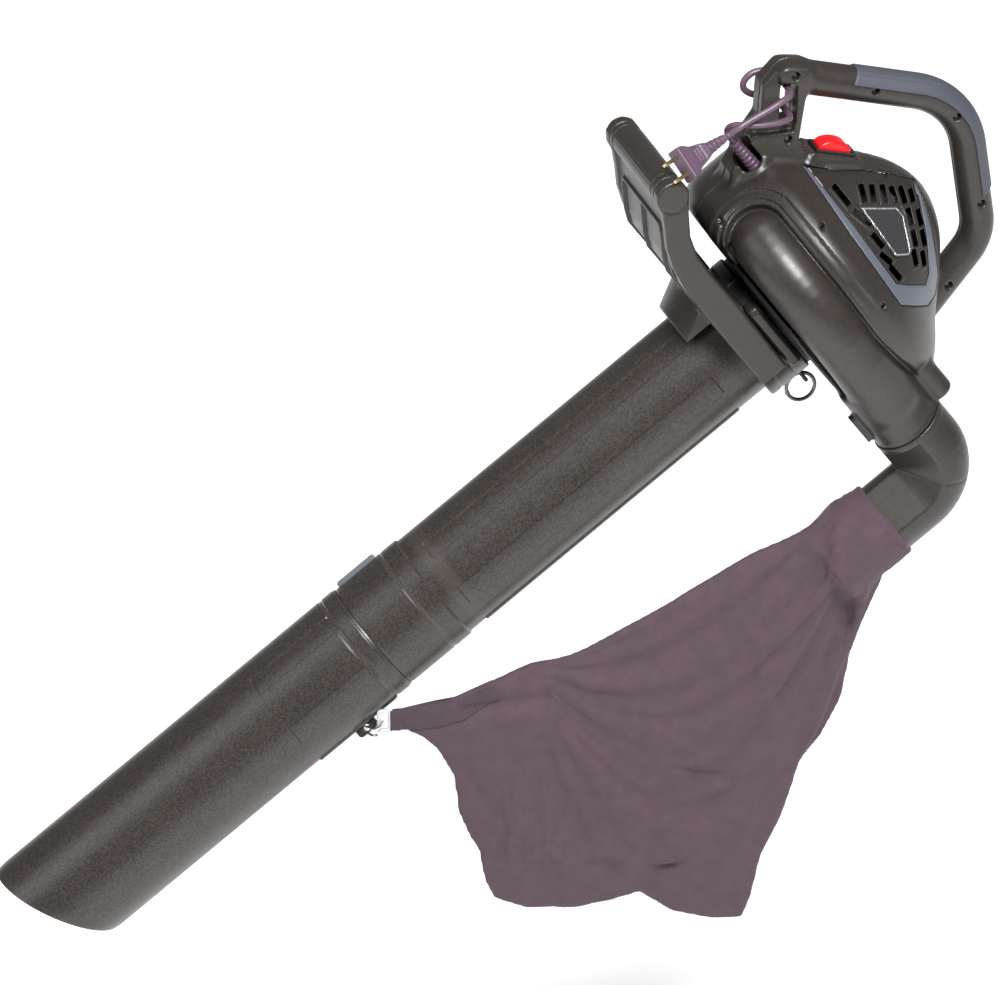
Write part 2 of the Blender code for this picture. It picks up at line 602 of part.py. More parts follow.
def handle_pad():
    """A soft half-sleeve over the outside of the main handle."""
    whole = smooth_route(HANDLE, 14)
    start = next(i for i, p in enumerate(whole) if p.x > 128)
    end = next(i for i, p in enumerate(whole) if p.z < 128)
    part = whole[start:end]
    pad = pipe_mesh("handle_pad", part, GRIP_R + PAD_THICKNESS, upright, soft_grip, 3)
    cut(pad, pipe_mesh("pad_bore", whole, GRIP_R + GAP, upright, resolution=3))
    inside = [(p.x, p.z) for p in whole[start - 2:end + 2]]
    cut(pad, plate("pad_inside", inside + [(120, 40), (60, 150)], -30, 30, upright))


def elbow():
    bend = 40
    top = (OUTLET_T, DUCT_Y, OUTLET_END_Z - GAP)
    route = [top, (OUTLET_T, DUCT_Y, ELBOW_Z + bend)]
    for k in range(1, 6):
        angle = math.radians(18 * k)
        route.append((OUTLET_T - bend + bend * math.cos(angle), DUCT_Y, ELBOW_Z + bend - bend * math.sin(angle)))
    route.append((ELBOW_END_T, DUCT_Y, ELBOW_Z))
    piece = pipe_mesh("outlet_elbow", route, ELBOW_R, machine, body_plastic, 6)
    inner = [(OUTLET_T, DUCT_Y, OUTLET_END_Z + 20), *route[1:-1], (ELBOW_END_T - 20, DUCT_Y, ELBOW_Z)]
    cut(piece, pipe_mesh("elbow_space", inner, ELBOW_R - 3, machine, resolution=6))
    inner, outer = NECK_R + GAP, NECK_R + 2.6
    band = turned("bag_neck_band", [(-4, inner), (-4, outer), (10, outer), (10, inner)], machine, bag_fabric, 32)
    band.location = Vector((0, DUCT_Y, ELBOW_Z)) * MM


BAG_MIDDLE_Y, BAG_LEAN = -87.0, math.atan(0.098)  # the bag hangs from the elbow in to the tube's hook
BAG_HALF_DEPTH = 26.0


def bag():
    outline = [
        (96, -150), (50, -160), (-5, -182), (-87, -227), (-174, -270), (-268, -308), (-312, -328),
        (-322, -378), (-303, -412), (-299, -452), (-277, -496), (-255, -551), (-223, -564), (-171, -568),
        (-109, -557), (-76, -583), (-38, -596), (-3, -600), (6, -575), (15, -529), (35, -488), (54, -425),
        (76, -399), (96, -361), (104, -312), (123, -265), (132, -236),
    ]
    swing = frame("bag_plane", upright, (0, BAG_MIDDLE_Y, 0), (0, 0, -BAG_LEAN))
    stretch = 1 / math.cos(BAG_LEAN)
    flat = [(x * stretch, z) for x, z in outline]
    sack = plate("collection_bag", flat, -BAG_HALF_DEPTH, BAG_HALF_DEPTH, swing, bag_fabric, 14, 3)
    neck, over = (NECK_END_T, DUCT_Y, ELBOW_Z), (NECK_END_T + 40, DUCT_Y, ELBOW_Z)
    join(sack, rod("neck", (-70, DUCT_Y, ELBOW_Z), neck, NECK_R, machine, sides=32))
    cut(sack, rod("elbow_clearance", (-45, DUCT_Y, ELBOW_Z), over, ELBOW_R + GAP, machine, sides=32))
    strap = rounded([(-364, -328, 3), (-364, -352, 3), (-325, -376, 0), (-316, -332, 0)], 2)
    flat = [(x * stretch, z) for x, z in strap]
    plate("bag_strap", flat, -1.5, 1.5, swing, bag_fabric)
    buckle = rounded([(-383, -327, 3), (-383, -353, 3), (-366, -353, 3), (-366, -327, 3)], 2)
    slide = plate("strap_buckle", buckle, -2, 2, swing, steel)
    cut(slide, block("buckle_eye", (-379, -9, -349), (-371, 9, -331), swing))
    hook = [(-375.4, -53, -338), (-380, -55, -344), (-385, -50, -348), (-387, -42, -349),
            (-387, -34, -353.4), (-387, -26, -357.6), (-385, -25, -364), (-380, -31, -366), (-378, -38, -362)]
    pipe("strap_hook", smooth_route(hook, 4), 1.5, upright, steel)


def cord():
    boot_low = (BOOT_T, BOOT_Y, 137 + GAP)
    rod("cable_boot", boot_low, (BOOT_T, BOOT_Y, BOOT_TOP_Z), BOOT_R, machine, cord_rubber, 16)
    pipe("power_cord", smooth_route(CORD_ROUTE, 8), CORD_R, upright, cord_rubber)
    across = (PLUG_WIDTH - PLUG_AXIS * PLUG_WIDTH.dot(PLUG_AXIS)).normalized()
    axes = Matrix((PLUG_AXIS, across.cross(PLUG_AXIS), across)).transposed()
    plug = frame("plug_frame", upright, PLUG_AT, axes.to_euler())
    outline = PLUG_HALF + [(x, -z) for x, z in reversed(PLUG_HALF)]
    half = PLUG_THICKNESS / 2
    body = plate("plug_body", outline, -half, half, plug, cord_rubber, 3, 2)
    join(body, rod("plug_relief", (-PLUG_RELIEF, 0, 0), (4, 0, 0), 4.4, plug, sides=16, end_radius=7.5))
    tip = PLUG_HALF[-1][0] + GAP
    for side, z in (("upper", -9.5), ("lower", 9.5)):
        rod(f"plug_pin_{side}", (tip, 0, z), (tip + 19, 0, z), PIN_R, plug, brass, 12)


fan_and_motor()
switch()
handle_pad()
elbow()
bag()
cord()
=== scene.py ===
"""Looks of the garden blower vac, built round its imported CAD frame.

Most shells are grown from distance fields: a field holds, at each point of a grid, how far that point is
from the surface, so that pieces blend, step and cut into each other as moulded plastic does. Lengths in
the fields are millimetres. The machine frame has its first axis along the suction tube, its second across
the machine and its third up from the tube, with its origin in the middle of the intake.
"""

import json
import math

import bmesh
import bpy
import numpy as np
from mathutils import Matrix, Vector


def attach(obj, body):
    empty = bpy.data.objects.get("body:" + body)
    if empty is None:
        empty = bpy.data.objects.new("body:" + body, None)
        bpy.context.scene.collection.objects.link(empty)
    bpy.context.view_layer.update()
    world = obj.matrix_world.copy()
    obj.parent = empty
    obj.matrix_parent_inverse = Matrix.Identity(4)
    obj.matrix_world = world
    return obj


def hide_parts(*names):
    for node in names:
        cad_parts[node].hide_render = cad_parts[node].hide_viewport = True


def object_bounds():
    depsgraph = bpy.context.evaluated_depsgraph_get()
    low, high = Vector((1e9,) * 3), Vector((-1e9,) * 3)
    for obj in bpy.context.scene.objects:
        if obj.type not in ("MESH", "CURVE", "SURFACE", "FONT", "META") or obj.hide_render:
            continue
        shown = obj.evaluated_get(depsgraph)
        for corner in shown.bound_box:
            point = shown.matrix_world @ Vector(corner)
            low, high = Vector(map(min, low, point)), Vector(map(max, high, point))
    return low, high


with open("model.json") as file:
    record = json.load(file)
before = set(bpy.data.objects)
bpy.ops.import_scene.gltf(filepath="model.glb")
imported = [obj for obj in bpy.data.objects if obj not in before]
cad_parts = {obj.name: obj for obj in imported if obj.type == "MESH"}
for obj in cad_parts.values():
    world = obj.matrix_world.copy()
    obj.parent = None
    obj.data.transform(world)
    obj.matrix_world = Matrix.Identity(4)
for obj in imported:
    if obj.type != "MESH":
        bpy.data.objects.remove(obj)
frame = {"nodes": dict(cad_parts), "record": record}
cad_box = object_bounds()
nodes = frame["nodes"]
BODY = "machine_body"

INTAKE = Vector((-165, 0, -263))
SLOPE = math.radians(36.2)
FINE = 1  # the grids' coarseness


# Frames: each matrix takes a frame's millimetres to world metres

UPRIGHT = Matrix.Scale(0.001, 4) @ Matrix.Translation(INTAKE)
MACHINE = UPRIGHT @ Matrix.Rotation(-SLOPE, 4, "Y")
TILT = math.radians(20)
GRILLES = {"near": MACHINE @ Matrix.Rotation(-TILT, 4, "X"), "far": MACHINE @ Matrix.Rotation(TILT, 4, "X")}
SWITCH = UPRIGHT @ Matrix.Translation((109, 0, 201)) @ Matrix.Rotation(math.radians(15), 4, "Y")


def tilted(points):
    """Upright (x, z) points as (station along the tube, height over it)."""
    c, s = math.cos(SLOPE), math.sin(SLOPE)
    return [(x * c + z * s, z * c - x * s) for x, z in points]


# Materials


def new_material(name):
    made = bpy.data.materials.new(name)
    made.use_nodes = True
    tree = made.node_tree
    return made, tree, tree.nodes["Principled BSDF"]


def noise(tree, scale, detail=3.0, roughness=0.55):
    """A noise in the object's own metres, so that it keeps its real scale."""
    place = tree.nodes.new("ShaderNodeTexCoord")
    found = tree.nodes.new("ShaderNodeTexNoise")
    found.inputs["Scale"].default_value = scale
    found.inputs["Detail"].default_value = detail
    found.inputs["Roughness"].default_value = roughness
    tree.links.new(place.outputs["Object"], found.inputs["Vector"])
    return found.outputs["Fac"]


def ramp(tree, value, low, high, at=(0.3, 0.7)):
    """A value turned into a colour between two."""
    found = tree.nodes.new("ShaderNodeValToRGB")
    for element, color, position in zip(found.color_ramp.elements, (low, high), at):
        element.color = (*color, 1)
        element.position = position
    tree.links.new(value, found.inputs["Fac"])
    return found.outputs["Color"]


def spread(tree, value, low, high):
    """A value from 0 to 1 mapped to another range."""
    found = tree.nodes.new("ShaderNodeMapRange")
    found.inputs["To Min"].default_value = low
    found.inputs["To Max"].default_value = high
    tree.links.new(value, found.inputs["Value"])
    return found.outputs["Result"]


def bump(tree, heights, strength=1.0):
    """Bumps from (height value, depth in millimetres) pairs, one over the other."""
    normal = None
    for height, depth in heights:
        found = tree.nodes.new("ShaderNodeBump")
        found.inputs["Strength"].default_value = strength
        found.inputs["Distance"].default_value = depth * 0.001
        tree.links.new(height, found.inputs["Height"])
        if normal:
            tree.links.new(normal, found.inputs["Normal"])
        normal = found.outputs["Normal"]
    return normal


def shaded(color, k):
    return tuple(c * k for c in color)


def moulded(name, color, roughness, grain, depth, mottle=0.12, wear=0.35, speckle=0.12):
    """Moulded plastic: a fine speckled grain, slight mottling, and edges rubbed lighter."""
    made, tree, shader = new_material(name)
    tone = tree.nodes.new("ShaderNodeMix")
    tone.data_type = "RGBA"
    broad = ramp(tree, noise(tree, 28), shaded(color, 1 - mottle), shaded(color, 1 + mottle))
    dark, light = shaded(color, 1 - speckle), shaded(color, 1 + speckle)
    spots = ramp(tree, noise(tree, 480, 2.0), dark, light, (0.4, 0.6))
    tree.links.new(broad, tone.inputs["A"])
    tree.links.new(spots, tone.inputs["B"])
    base = tone.outputs["Result"]
    edge = tree.nodes.new("ShaderNodeNewGeometry").outputs["Pointiness"]
    rub = ramp(tree, edge, (0, 0, 0), (1, 1, 1), (0.53, 0.62))
    mix = tree.nodes.new("ShaderNodeMix")
    mix.data_type = "RGBA"
    weaken = tree.nodes.new("ShaderNodeMath")
    weaken.operation = "MULTIPLY"
    weaken.inputs[1].default_value = wear
    tree.links.new(rub, weaken.inputs[0])
    tree.links.new(weaken.outputs[0], mix.inputs["Factor"])
    tree.links.new(base, mix.inputs["A"])
    mix.inputs["B"].default_value = (*shaded(color, 2.2), 1)
    tree.links.new(mix.outputs["Result"], shader.inputs["Base Color"])
    rough = spread(tree, noise(tree, 60), roughness - 0.06, roughness + 0.08)
    tree.links.new(rough, shader.inputs["Roughness"])
    fine = noise(tree, grain, 2.0)
    tree.links.new(bump(tree, [(fine, depth), (noise(tree, 14), 0.12)]), shader.inputs["Normal"])
    return made


def woven(name, color, pitch, depth):
    """Woven fabric: warp and weft threads, mottled like worn nylon, with a soft sheen."""
    made, tree, shader = new_material(name)
    place = tree.nodes.new("ShaderNodeTexCoord").outputs["Object"]
    threads = []
    for direction in ("X", "Z"):
        wave = tree.nodes.new("ShaderNodeTexWave")
        wave.bands_direction = direction
        wave.inputs["Scale"].default_value = math.pi / (10 * pitch * 0.001)
        wave.inputs["Distortion"].default_value = 1.2
        wave.inputs["Detail Scale"].default_value = 3
        tree.links.new(place, wave.inputs["Vector"])
        threads.append(wave.outputs["Fac"])
    cross = tree.nodes.new("ShaderNodeMath")
    cross.operation = "MULTIPLY"
    for k, thread in enumerate(threads):
        tree.links.new(thread, cross.inputs[k])
    blotch = noise(tree, 55, 6, 0.7)
    tree.links.new(ramp(tree, blotch, shaded(color, 0.8), shaded(color, 1.22)), shader.inputs["Base Color"])
    tree.links.new(spread(tree, blotch, 0.78, 0.95), shader.inputs["Roughness"])
    shader.inputs["Sheen Weight"].default_value = 0.35
    shader.inputs["Sheen Roughness"].default_value = 0.5
    shader.inputs["Sheen Tint"].default_value = (*shaded(color, 5), 1)
    relief = bump(tree, [(cross.outputs[0], depth), (noise(tree, 22, 4), 0.8)])
    tree.links.new(relief, shader.inputs["Normal"])
    return made


def metal(name, color, roughness, scratch=350):
    """Ground or plated metal with fine marks."""
    made, tree, shader = new_material(name)
    shader.inputs["Metallic"].default_value = 1.0
    marks = noise(tree, scratch, 5, 0.65)
    tree.links.new(ramp(tree, marks, shaded(color, 0.8), shaded(color, 1.1)), shader.inputs["Base Color"])
    tree.links.new(spread(tree, marks, roughness - 0.08, roughness + 0.14), shader.inputs["Roughness"])
    tree.links.new(bump(tree, [(marks, 0.02)]), shader.inputs["Normal"])
    return made


BODY_COLOR = (0.025, 0.0205, 0.0175)
body_plastic = moulded("body_plastic", BODY_COLOR, 0.34, 700, 0.08, speckle=0.3)
tube_plastic = moulded("tube_plastic", shaded(BODY_COLOR, 1.15), 0.33, 560, 0.07, 0.14, speckle=0.8)
grille_plastic = moulded("grille_plastic", shaded(BODY_COLOR, 0.8), 0.45, 900, 0.05)
dark_plastic = moulded("dark_plastic", (0.012, 0.011, 0.011), 0.55, 900, 0.05)
soft_grip = moulded("soft_grip", (0.1, 0.11, 0.13), 0.5, 1500, 0.02, 0.06, 0.2)
grip_rubber = moulded("grip_rubber", (0.055, 0.06, 0.075), 0.5, 1200, 0.03, 0.06, 0.2)
trim_paint = moulded("trim_paint", (0.09, 0.1, 0.122), 0.36, 1500, 0.012, 0.05, 0.15)
switch_red = moulded("switch_red", (0.78, 0.003, 0.006), 0.3, 1500, 0.008, 0.04, 0.05)
cord_rubber = moulded("cord_rubber", (0.095, 0.058, 0.088), 0.35, 1200, 0.03, 0.1, 0.3)
bag_fabric = woven("bag_fabric", (0.062, 0.038, 0.052), 0.9, 0.12)
webbing = woven("webbing", (0.05, 0.032, 0.044), 1.4, 0.3)
buckle_grey = moulded("buckle_grey", (0.5, 0.5, 0.52), 0.35, 1500, 0.01, 0.05, 0.2)
steel = metal("steel", (0.6, 0.6, 0.62), 0.28)
dark_steel = metal("dark_steel", (0.2, 0.18, 0.2), 0.35)
copper = metal("copper", (0.72, 0.36, 0.19), 0.35)
brass = metal("brass", (0.78, 0.62, 0.32), 0.25)
silver_paint = metal("silver_paint", (0.82, 0.83, 0.85), 0.35)
plate_black = moulded("plate_black", (0.03, 0.03, 0.033), 0.28, 1500, 0.01, 0.05, 0.1)


# Distance fields


class Grid:
    """Sample points along three axes of a frame."""

    def __init__(self, low, high, step):
        self.low, self.step = np.array(low, np.float64), step * FINE
        axes = [np.arange(a, b + self.step, self.step, dtype=np.float32) for a, b in zip(low, high)]
        self.t = axes[0][:, None, None]
        self.l = axes[1][None, :, None]
        self.u = axes[2][None, None, :]
        self.shape = tuple(len(a) for a in axes)


def polygon(x, z, points):
    """Distance to a closed outline, negative inside it."""
    nearest = np.full(np.broadcast(x, z).shape, 1e9, np.float32)
    inside = np.zeros(nearest.shape, bool)
    for (x0, z0), (x1, z1) in zip(points, [*points[1:], points[0]]):
        ex, ez = x1 - x0, z1 - z0
        along = np.clip(((x - x0) * ex + (z - z0) * ez) / max(ex * ex + ez * ez, 1e-9), 0, 1)
        nearest = np.minimum(nearest, (x - x0 - ex * along) ** 2 + (z - z0 - ez * along) ** 2)
        if ez:
            inside ^= ((z0 <= z) != (z1 <= z)) & (x < x0 + (z - z0) * ex / ez)
    return np.where(inside, -1, 1).astype(np.float32) * np.sqrt(nearest)


def line(coordinates, points):
    """Distance to an open line through points, in two or three dimensions."""
    nearest = np.float32(1e9)
    for start, end in zip(points, points[1:]):
        edge = [b - a for a, b in zip(start, end)]
        offsets = [c - a for c, a in zip(coordinates, start)]
        along = sum(o * e for o, e in zip(offsets, edge)) / sum(e * e for e in edge)
        along = np.clip(along, 0, 1)
        nearest = np.minimum(nearest, sum((o - e * along) ** 2 for o, e in zip(offsets, edge)))
    return np.sqrt(nearest).astype(np.float32)


def extruded(flat, across, low, high, edge=0.0):
    """A flat distance made solid between two heights across it, with rounded rims."""
    side = flat + edge
    end = np.abs(across - (low + high) / 2) - (high - low) / 2 + edge
    outside = np.sqrt(np.maximum(side, 0) ** 2 + np.maximum(end, 0) ** 2)
    return np.minimum(np.maximum(side, end), 0) + outside - edge


def revolved(grid, profile, centre=(0, 0)):
    """A profile of (station, radius) turned round the first axis."""
    radius = np.hypot(grid.l[0] - centre[0], grid.u[0] - centre[1])
    reach = np.arange(0, radius.max() + 1, 0.5)
    whole = list(profile) + [(t, -r) for t, r in reversed(profile) if r > 0]
    table = polygon(grid.t[:, :, 0], reach[None, :], whole)
    return np.stack([np.interp(radius, reach, row) for row in table]).astype(np.float32)


def blend(a, b, reach):
    """Union with a fillet."""
    share = np.clip(0.5 + 0.5 * (b - a) / reach, 0, 1)
    return b + (a - b) * share - reach * share * (1 - share)


def carve(a, b, reach=0.01):
    """a with b cut out of it, the cut's rim softened."""
    return -blend(-a, b, reach)


def rod(grid, start, end, radius, edge=0.5, end_radius=None):
    """A straight bar between two points, tapered if it has an end radius."""
    start, axis = np.array(start, float), np.array(end, float) - np.array(start, float)
    length = float(np.linalg.norm(axis))
    axis /= length
    offsets = [grid.t - start[0], grid.l - start[1], grid.u - start[2]]
    along = sum(o * a for o, a in zip(offsets, axis))
    radial = np.sqrt(np.maximum(sum(o * o for o in offsets) - along * along, 0))
    taper = 0 if end_radius is None else (end_radius - radius) * np.clip(along / length, 0, 1)
    return extruded(radial - radius - taper, along, 0, length, edge)


def box(grid, low, high, edge=0.5):
    """A block with rounded edges."""
    middle, half = (np.array(low) + high) / 2, (np.array(high) - low) / 2 - edge
    q = [np.abs(c - m) - h for c, m, h in zip((grid.t, grid.l, grid.u), middle, half)]
    outside = np.sqrt(sum(np.maximum(v, 0) ** 2 for v in q))
    return outside + np.minimum(np.maximum(np.maximum(q[0], q[1]), q[2]), 0) - edge


def joined(*layers):
    """The union of several fields, each with the fillet it joins by."""
    whole = layers[0]
    for field, reach in layers[1:]:
        whole = blend(whole, field, reach)
    return whole


def ease(value):
    value = np.clip(value, 0, 1)
    return value * value * (3 - 2 * value)


def softened(points, rounds=2):
    """An open outline with its corners cut, ends kept."""
    for _ in range(rounds):
        cut = [points[0]]
        for (x0, z0), (x1, z1) in zip(points, points[1:]):
            cut.append((x0 * 0.75 + x1 * 0.25, z0 * 0.75 + z1 * 0.25))
            cut.append((x0 * 0.25 + x1 * 0.75, z0 * 0.25 + z1 * 0.75))
        points = [*cut, points[-1]]
    return points


def rounded(corners, steps=6):
    """Outline whose corners are (x, z, radius): each becomes an arc of that radius."""
    points = []
    for i, (x, z, radius) in enumerate(corners):
        here = Vector((x, z))
        back = (Vector(corners[i - 1][:2]) - here).normalized()
        ahead = (Vector(corners[(i + 1) % len(corners)][:2]) - here).normalized()
        if radius <= 0:
            points.append(here)
            continue
        half = back.angle(ahead) / 2
        reach = radius / math.tan(half)
        centre = here + (back + ahead).normalized() * (radius / math.sin(half))
        start, end = here + back * reach - centre, here + ahead * reach - centre
        sweep = start.angle_signed(end)
        points += [centre + Matrix.Rotation(-sweep * k / steps, 2) @ start for k in range(steps + 1)]
    return [(p[0], p[1]) for p in points]


def relaxed(points, faces, rounds):
    """Points drawn a little towards their neighbours', which takes the grid's ripple out of a surface."""
    starts, ends = faces.ravel(), np.roll(faces, -1, 1).ravel()
    count = np.bincount(starts, minlength=len(points)) + np.bincount(ends, minlength=len(points))
    for k in range(rounds * 2):
        total = np.zeros_like(points)
        for n in range(3):
            total[:, n] = np.bincount(starts, points[ends, n], len(points))
            total[:, n] += np.bincount(ends, points[starts, n], len(points))
        points = points + (total / count[:, None] - points) * (0.5, -0.52)[k % 2]
    return points


def mesh_of(name, points, loops, sizes, matrix):
    """A smooth mesh from arrays: points in a frame's millimetres, corner indices, and corners per face."""
    world = np.array(matrix)
    points = points @ world[:3, :3].T + world[:3, 3]
    mesh = bpy.data.meshes.new(name)
    mesh.vertices.add(len(points))
    mesh.vertices.foreach_set("co", points.astype(np.float32).ravel())
    mesh.loops.add(len(loops))
    mesh.loops.foreach_set("vertex_index", loops.astype(np.int32))
    mesh.polygons.add(len(sizes))
    starts = np.concatenate([[0], np.cumsum(sizes)[:-1]]).astype(np.int32)
    mesh.polygons.foreach_set("loop_start", starts)
    mesh.update(calc_edges=True)
    mesh.validate()
    mesh.shade_smooth()
    return mesh


def place(name, mesh, finish, slot, body=BODY, stands_for=()):
    obj = bpy.data.objects.new(name, mesh)
    bpy.context.scene.collection.objects.link(obj)
    if not mesh.materials:
        mesh.materials.append(finish)
    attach(obj, body)
    if stands_for:
        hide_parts(*stands_for)
    return obj


def skin(name, field, grid, matrix, smooth=2, mirror=False):
    """The mesh of a field's zero level: one point in each cell that the surface crosses."""
    field = np.broadcast_to(field, np.broadcast_shapes(field.shape, grid.shape))
    inside = field < 0
    corners = [(i, j, k) for i in (0, 1) for j in (0, 1) for k in (0, 1)]
    nx, ny, nz = (n - 1 for n in field.shape)
    count = np.zeros((nx, ny, nz), np.int8)
    for i, j, k in corners:
        count += inside[i:nx + i, j:ny + j, k:nz + k]
    cells = np.argwhere((count > 0) & (count < 8))
    number = np.full((nx, ny, nz), -1, np.int32)
    number[tuple(cells.T)] = np.arange(len(cells))
    value = {c: field[tuple((cells + c).T)].astype(np.float64) for c in corners}
    total, crossings = np.zeros((len(cells), 3)), np.zeros(len(cells))
    for a in corners:
        for axis in range(3):
            if a[axis]:
                continue
            b = tuple(1 if n == axis else v for n, v in enumerate(a))
            crosses = (value[a] < 0) != (value[b] < 0)
            gap = np.where(crosses, value[a] - value[b], 1)
            share = value[a] / gap
            for n in range(3):
                total[:, n] += np.where(crosses, a[n] + (share if n == axis else 0), 0)
            crossings += crosses
    points = grid.low + (cells + total / crossings[:, None]) * grid.step
    faces = []
    for axis in range(3):
        other = [n for n in range(3) if n != axis]
        low = [slice(1, -1)] * 3
        low[axis] = slice(0, -1)
        high = list(low)
        high[axis] = slice(1, None)
        starts, ends = inside[tuple(low)], inside[tuple(high)]
        edges = np.argwhere(starts != ends)
        out = starts[tuple(edges.T)]
        edges = edges + [0 if n == axis else 1 for n in range(3)]
        ring = []
        for da, db in ((0, 0), (1, 0), (1, 1), (0, 1)):
            cell = edges.copy()
            cell[:, other[0]] -= da
            cell[:, other[1]] -= db
            ring.append(number[tuple(cell.T)])
        quad = np.stack(ring, 1)
        turn = out if axis != 1 else ~out
        faces.append(np.where(turn[:, None], quad, quad[:, ::-1]))
    faces = np.concatenate(faces)
    points = relaxed(points, faces, smooth)
    if mirror:
        points, faces = points * (1, -1, 1), faces[:, ::-1]
    return mesh_of(name, points, faces.ravel(), np.full(len(faces), 4), matrix)


def lofted(name, rings, matrix, sharp=35):
    """Rings of points joined round and round, the last to the first."""
    rings = np.asarray(rings, float)
    count, across = rings.shape[:2]
    number = np.arange(count * across).reshape(count, across)
    ahead, beside = np.roll(number, -1, 0), np.roll(number, -1, 1)
    faces = np.stack([number, beside, np.roll(ahead, -1, 1), ahead], -1).reshape(-1, 4)
    mesh = mesh_of(name, rings.reshape(-1, 3), faces.ravel(), np.full(len(faces), 4), matrix)
    mesh.set_sharp_from_angle(angle=math.radians(sharp))
    return mesh


# Driving shapes, as in the CAD

HOUSING = [
    (57, 0), (57, 126), (62, 140), (72, 147), (84, 150), (138, 150), (150, 146), (165, 131),
    (181, 110), (205, 87), (221, 70), (236, 52), (246, 34), (252, 16), (254, 0),
]
HANDLE = tilted(rounded([(64, 288, 0), (245, 238, 78), (268, 86, 50), (196, -2, 0)], 12))
GRIP_R = 17.5
STRUT = tilted(rounded([
    (81, 300, 4), (76, 268, 30), (69, 222, 0), (84, 200, 0), (84, 120, 0), (0, 120, 0), (-2, 196, 0),
    (18, 232, 12), (31, 250, 12), (33, 284, 8), (53, 304, 8),
]))
TRIM_OUTER = [
    (174, 104), (167, 30), (161, -56), (181, -85), (194, -87), (209, -75), (219, -58), (234, -31),
    (245, -6), (250, 11),
]
TRIM_INNER = [
    (244, 5), (243, -1), (223, -35), (202, -63), (193, -68), (180, -52), (171, -38), (175, 31), (177, 96),
]
OPENING = [*TRIM_OUTER, (236, 34), (216, 58), (194, 78)]
OUTLET_T, DUCT_Y, OUTLET_END = 91.0, -100.0, -142.0
BOOT_T, BOOT_Y = 137.0, -10.0
DUCT_R, DUCT_RING_R, SLEEVE_R = 31.5, 122.0, 36.0
SCREWS = [(64, 294, 17), (57, 226, 17), (149, 265, 15), (236, 225, 15), (264, 126, 15), (231, 40, 15)]


def duct_route():
    """Middle of the scroll's duct: round the housing's near side, then down to the outlet."""
    points = []
    for k in range(13):
        angle = math.radians(58 - 58 * k / 12)
        points.append((OUTLET_T + 5, -DUCT_RING_R * math.cos(angle), DUCT_RING_R * math.sin(angle)))
    return [*points, (OUTLET_T + 4, -120, -35), (OUTLET_T + 2, -113, -75), (OUTLET_T, -110, -97)]


def side_flat(grid, side, outline):
    """Distance to an outline drawn in a side's grille frame, at each point of a machine-frame grid."""
    angle = -TILT if side == "near" else TILT
    height = -grid.l[0] * math.sin(angle) + grid.u[0] * math.cos(angle)
    depth = grid.l * math.cos(angle) + grid.u * math.sin(angle)
    reach = np.arange(height.min(), height.max() + 1, 0.7)
    table = polygon(grid.t[:, :, 0], reach[None, :], outline)
    flat = np.stack([np.interp(height, reach, row) for row in table]).astype(np.float32)
    return flat, depth


def drilled(field, grid, at, radius, low, high):
    """A hole straight across the machine."""
    hole = np.hypot(grid.t - at[0], grid.u - at[1]) - radius
    return carve(field, extruded(hole, grid.l, low, high), 0.6)


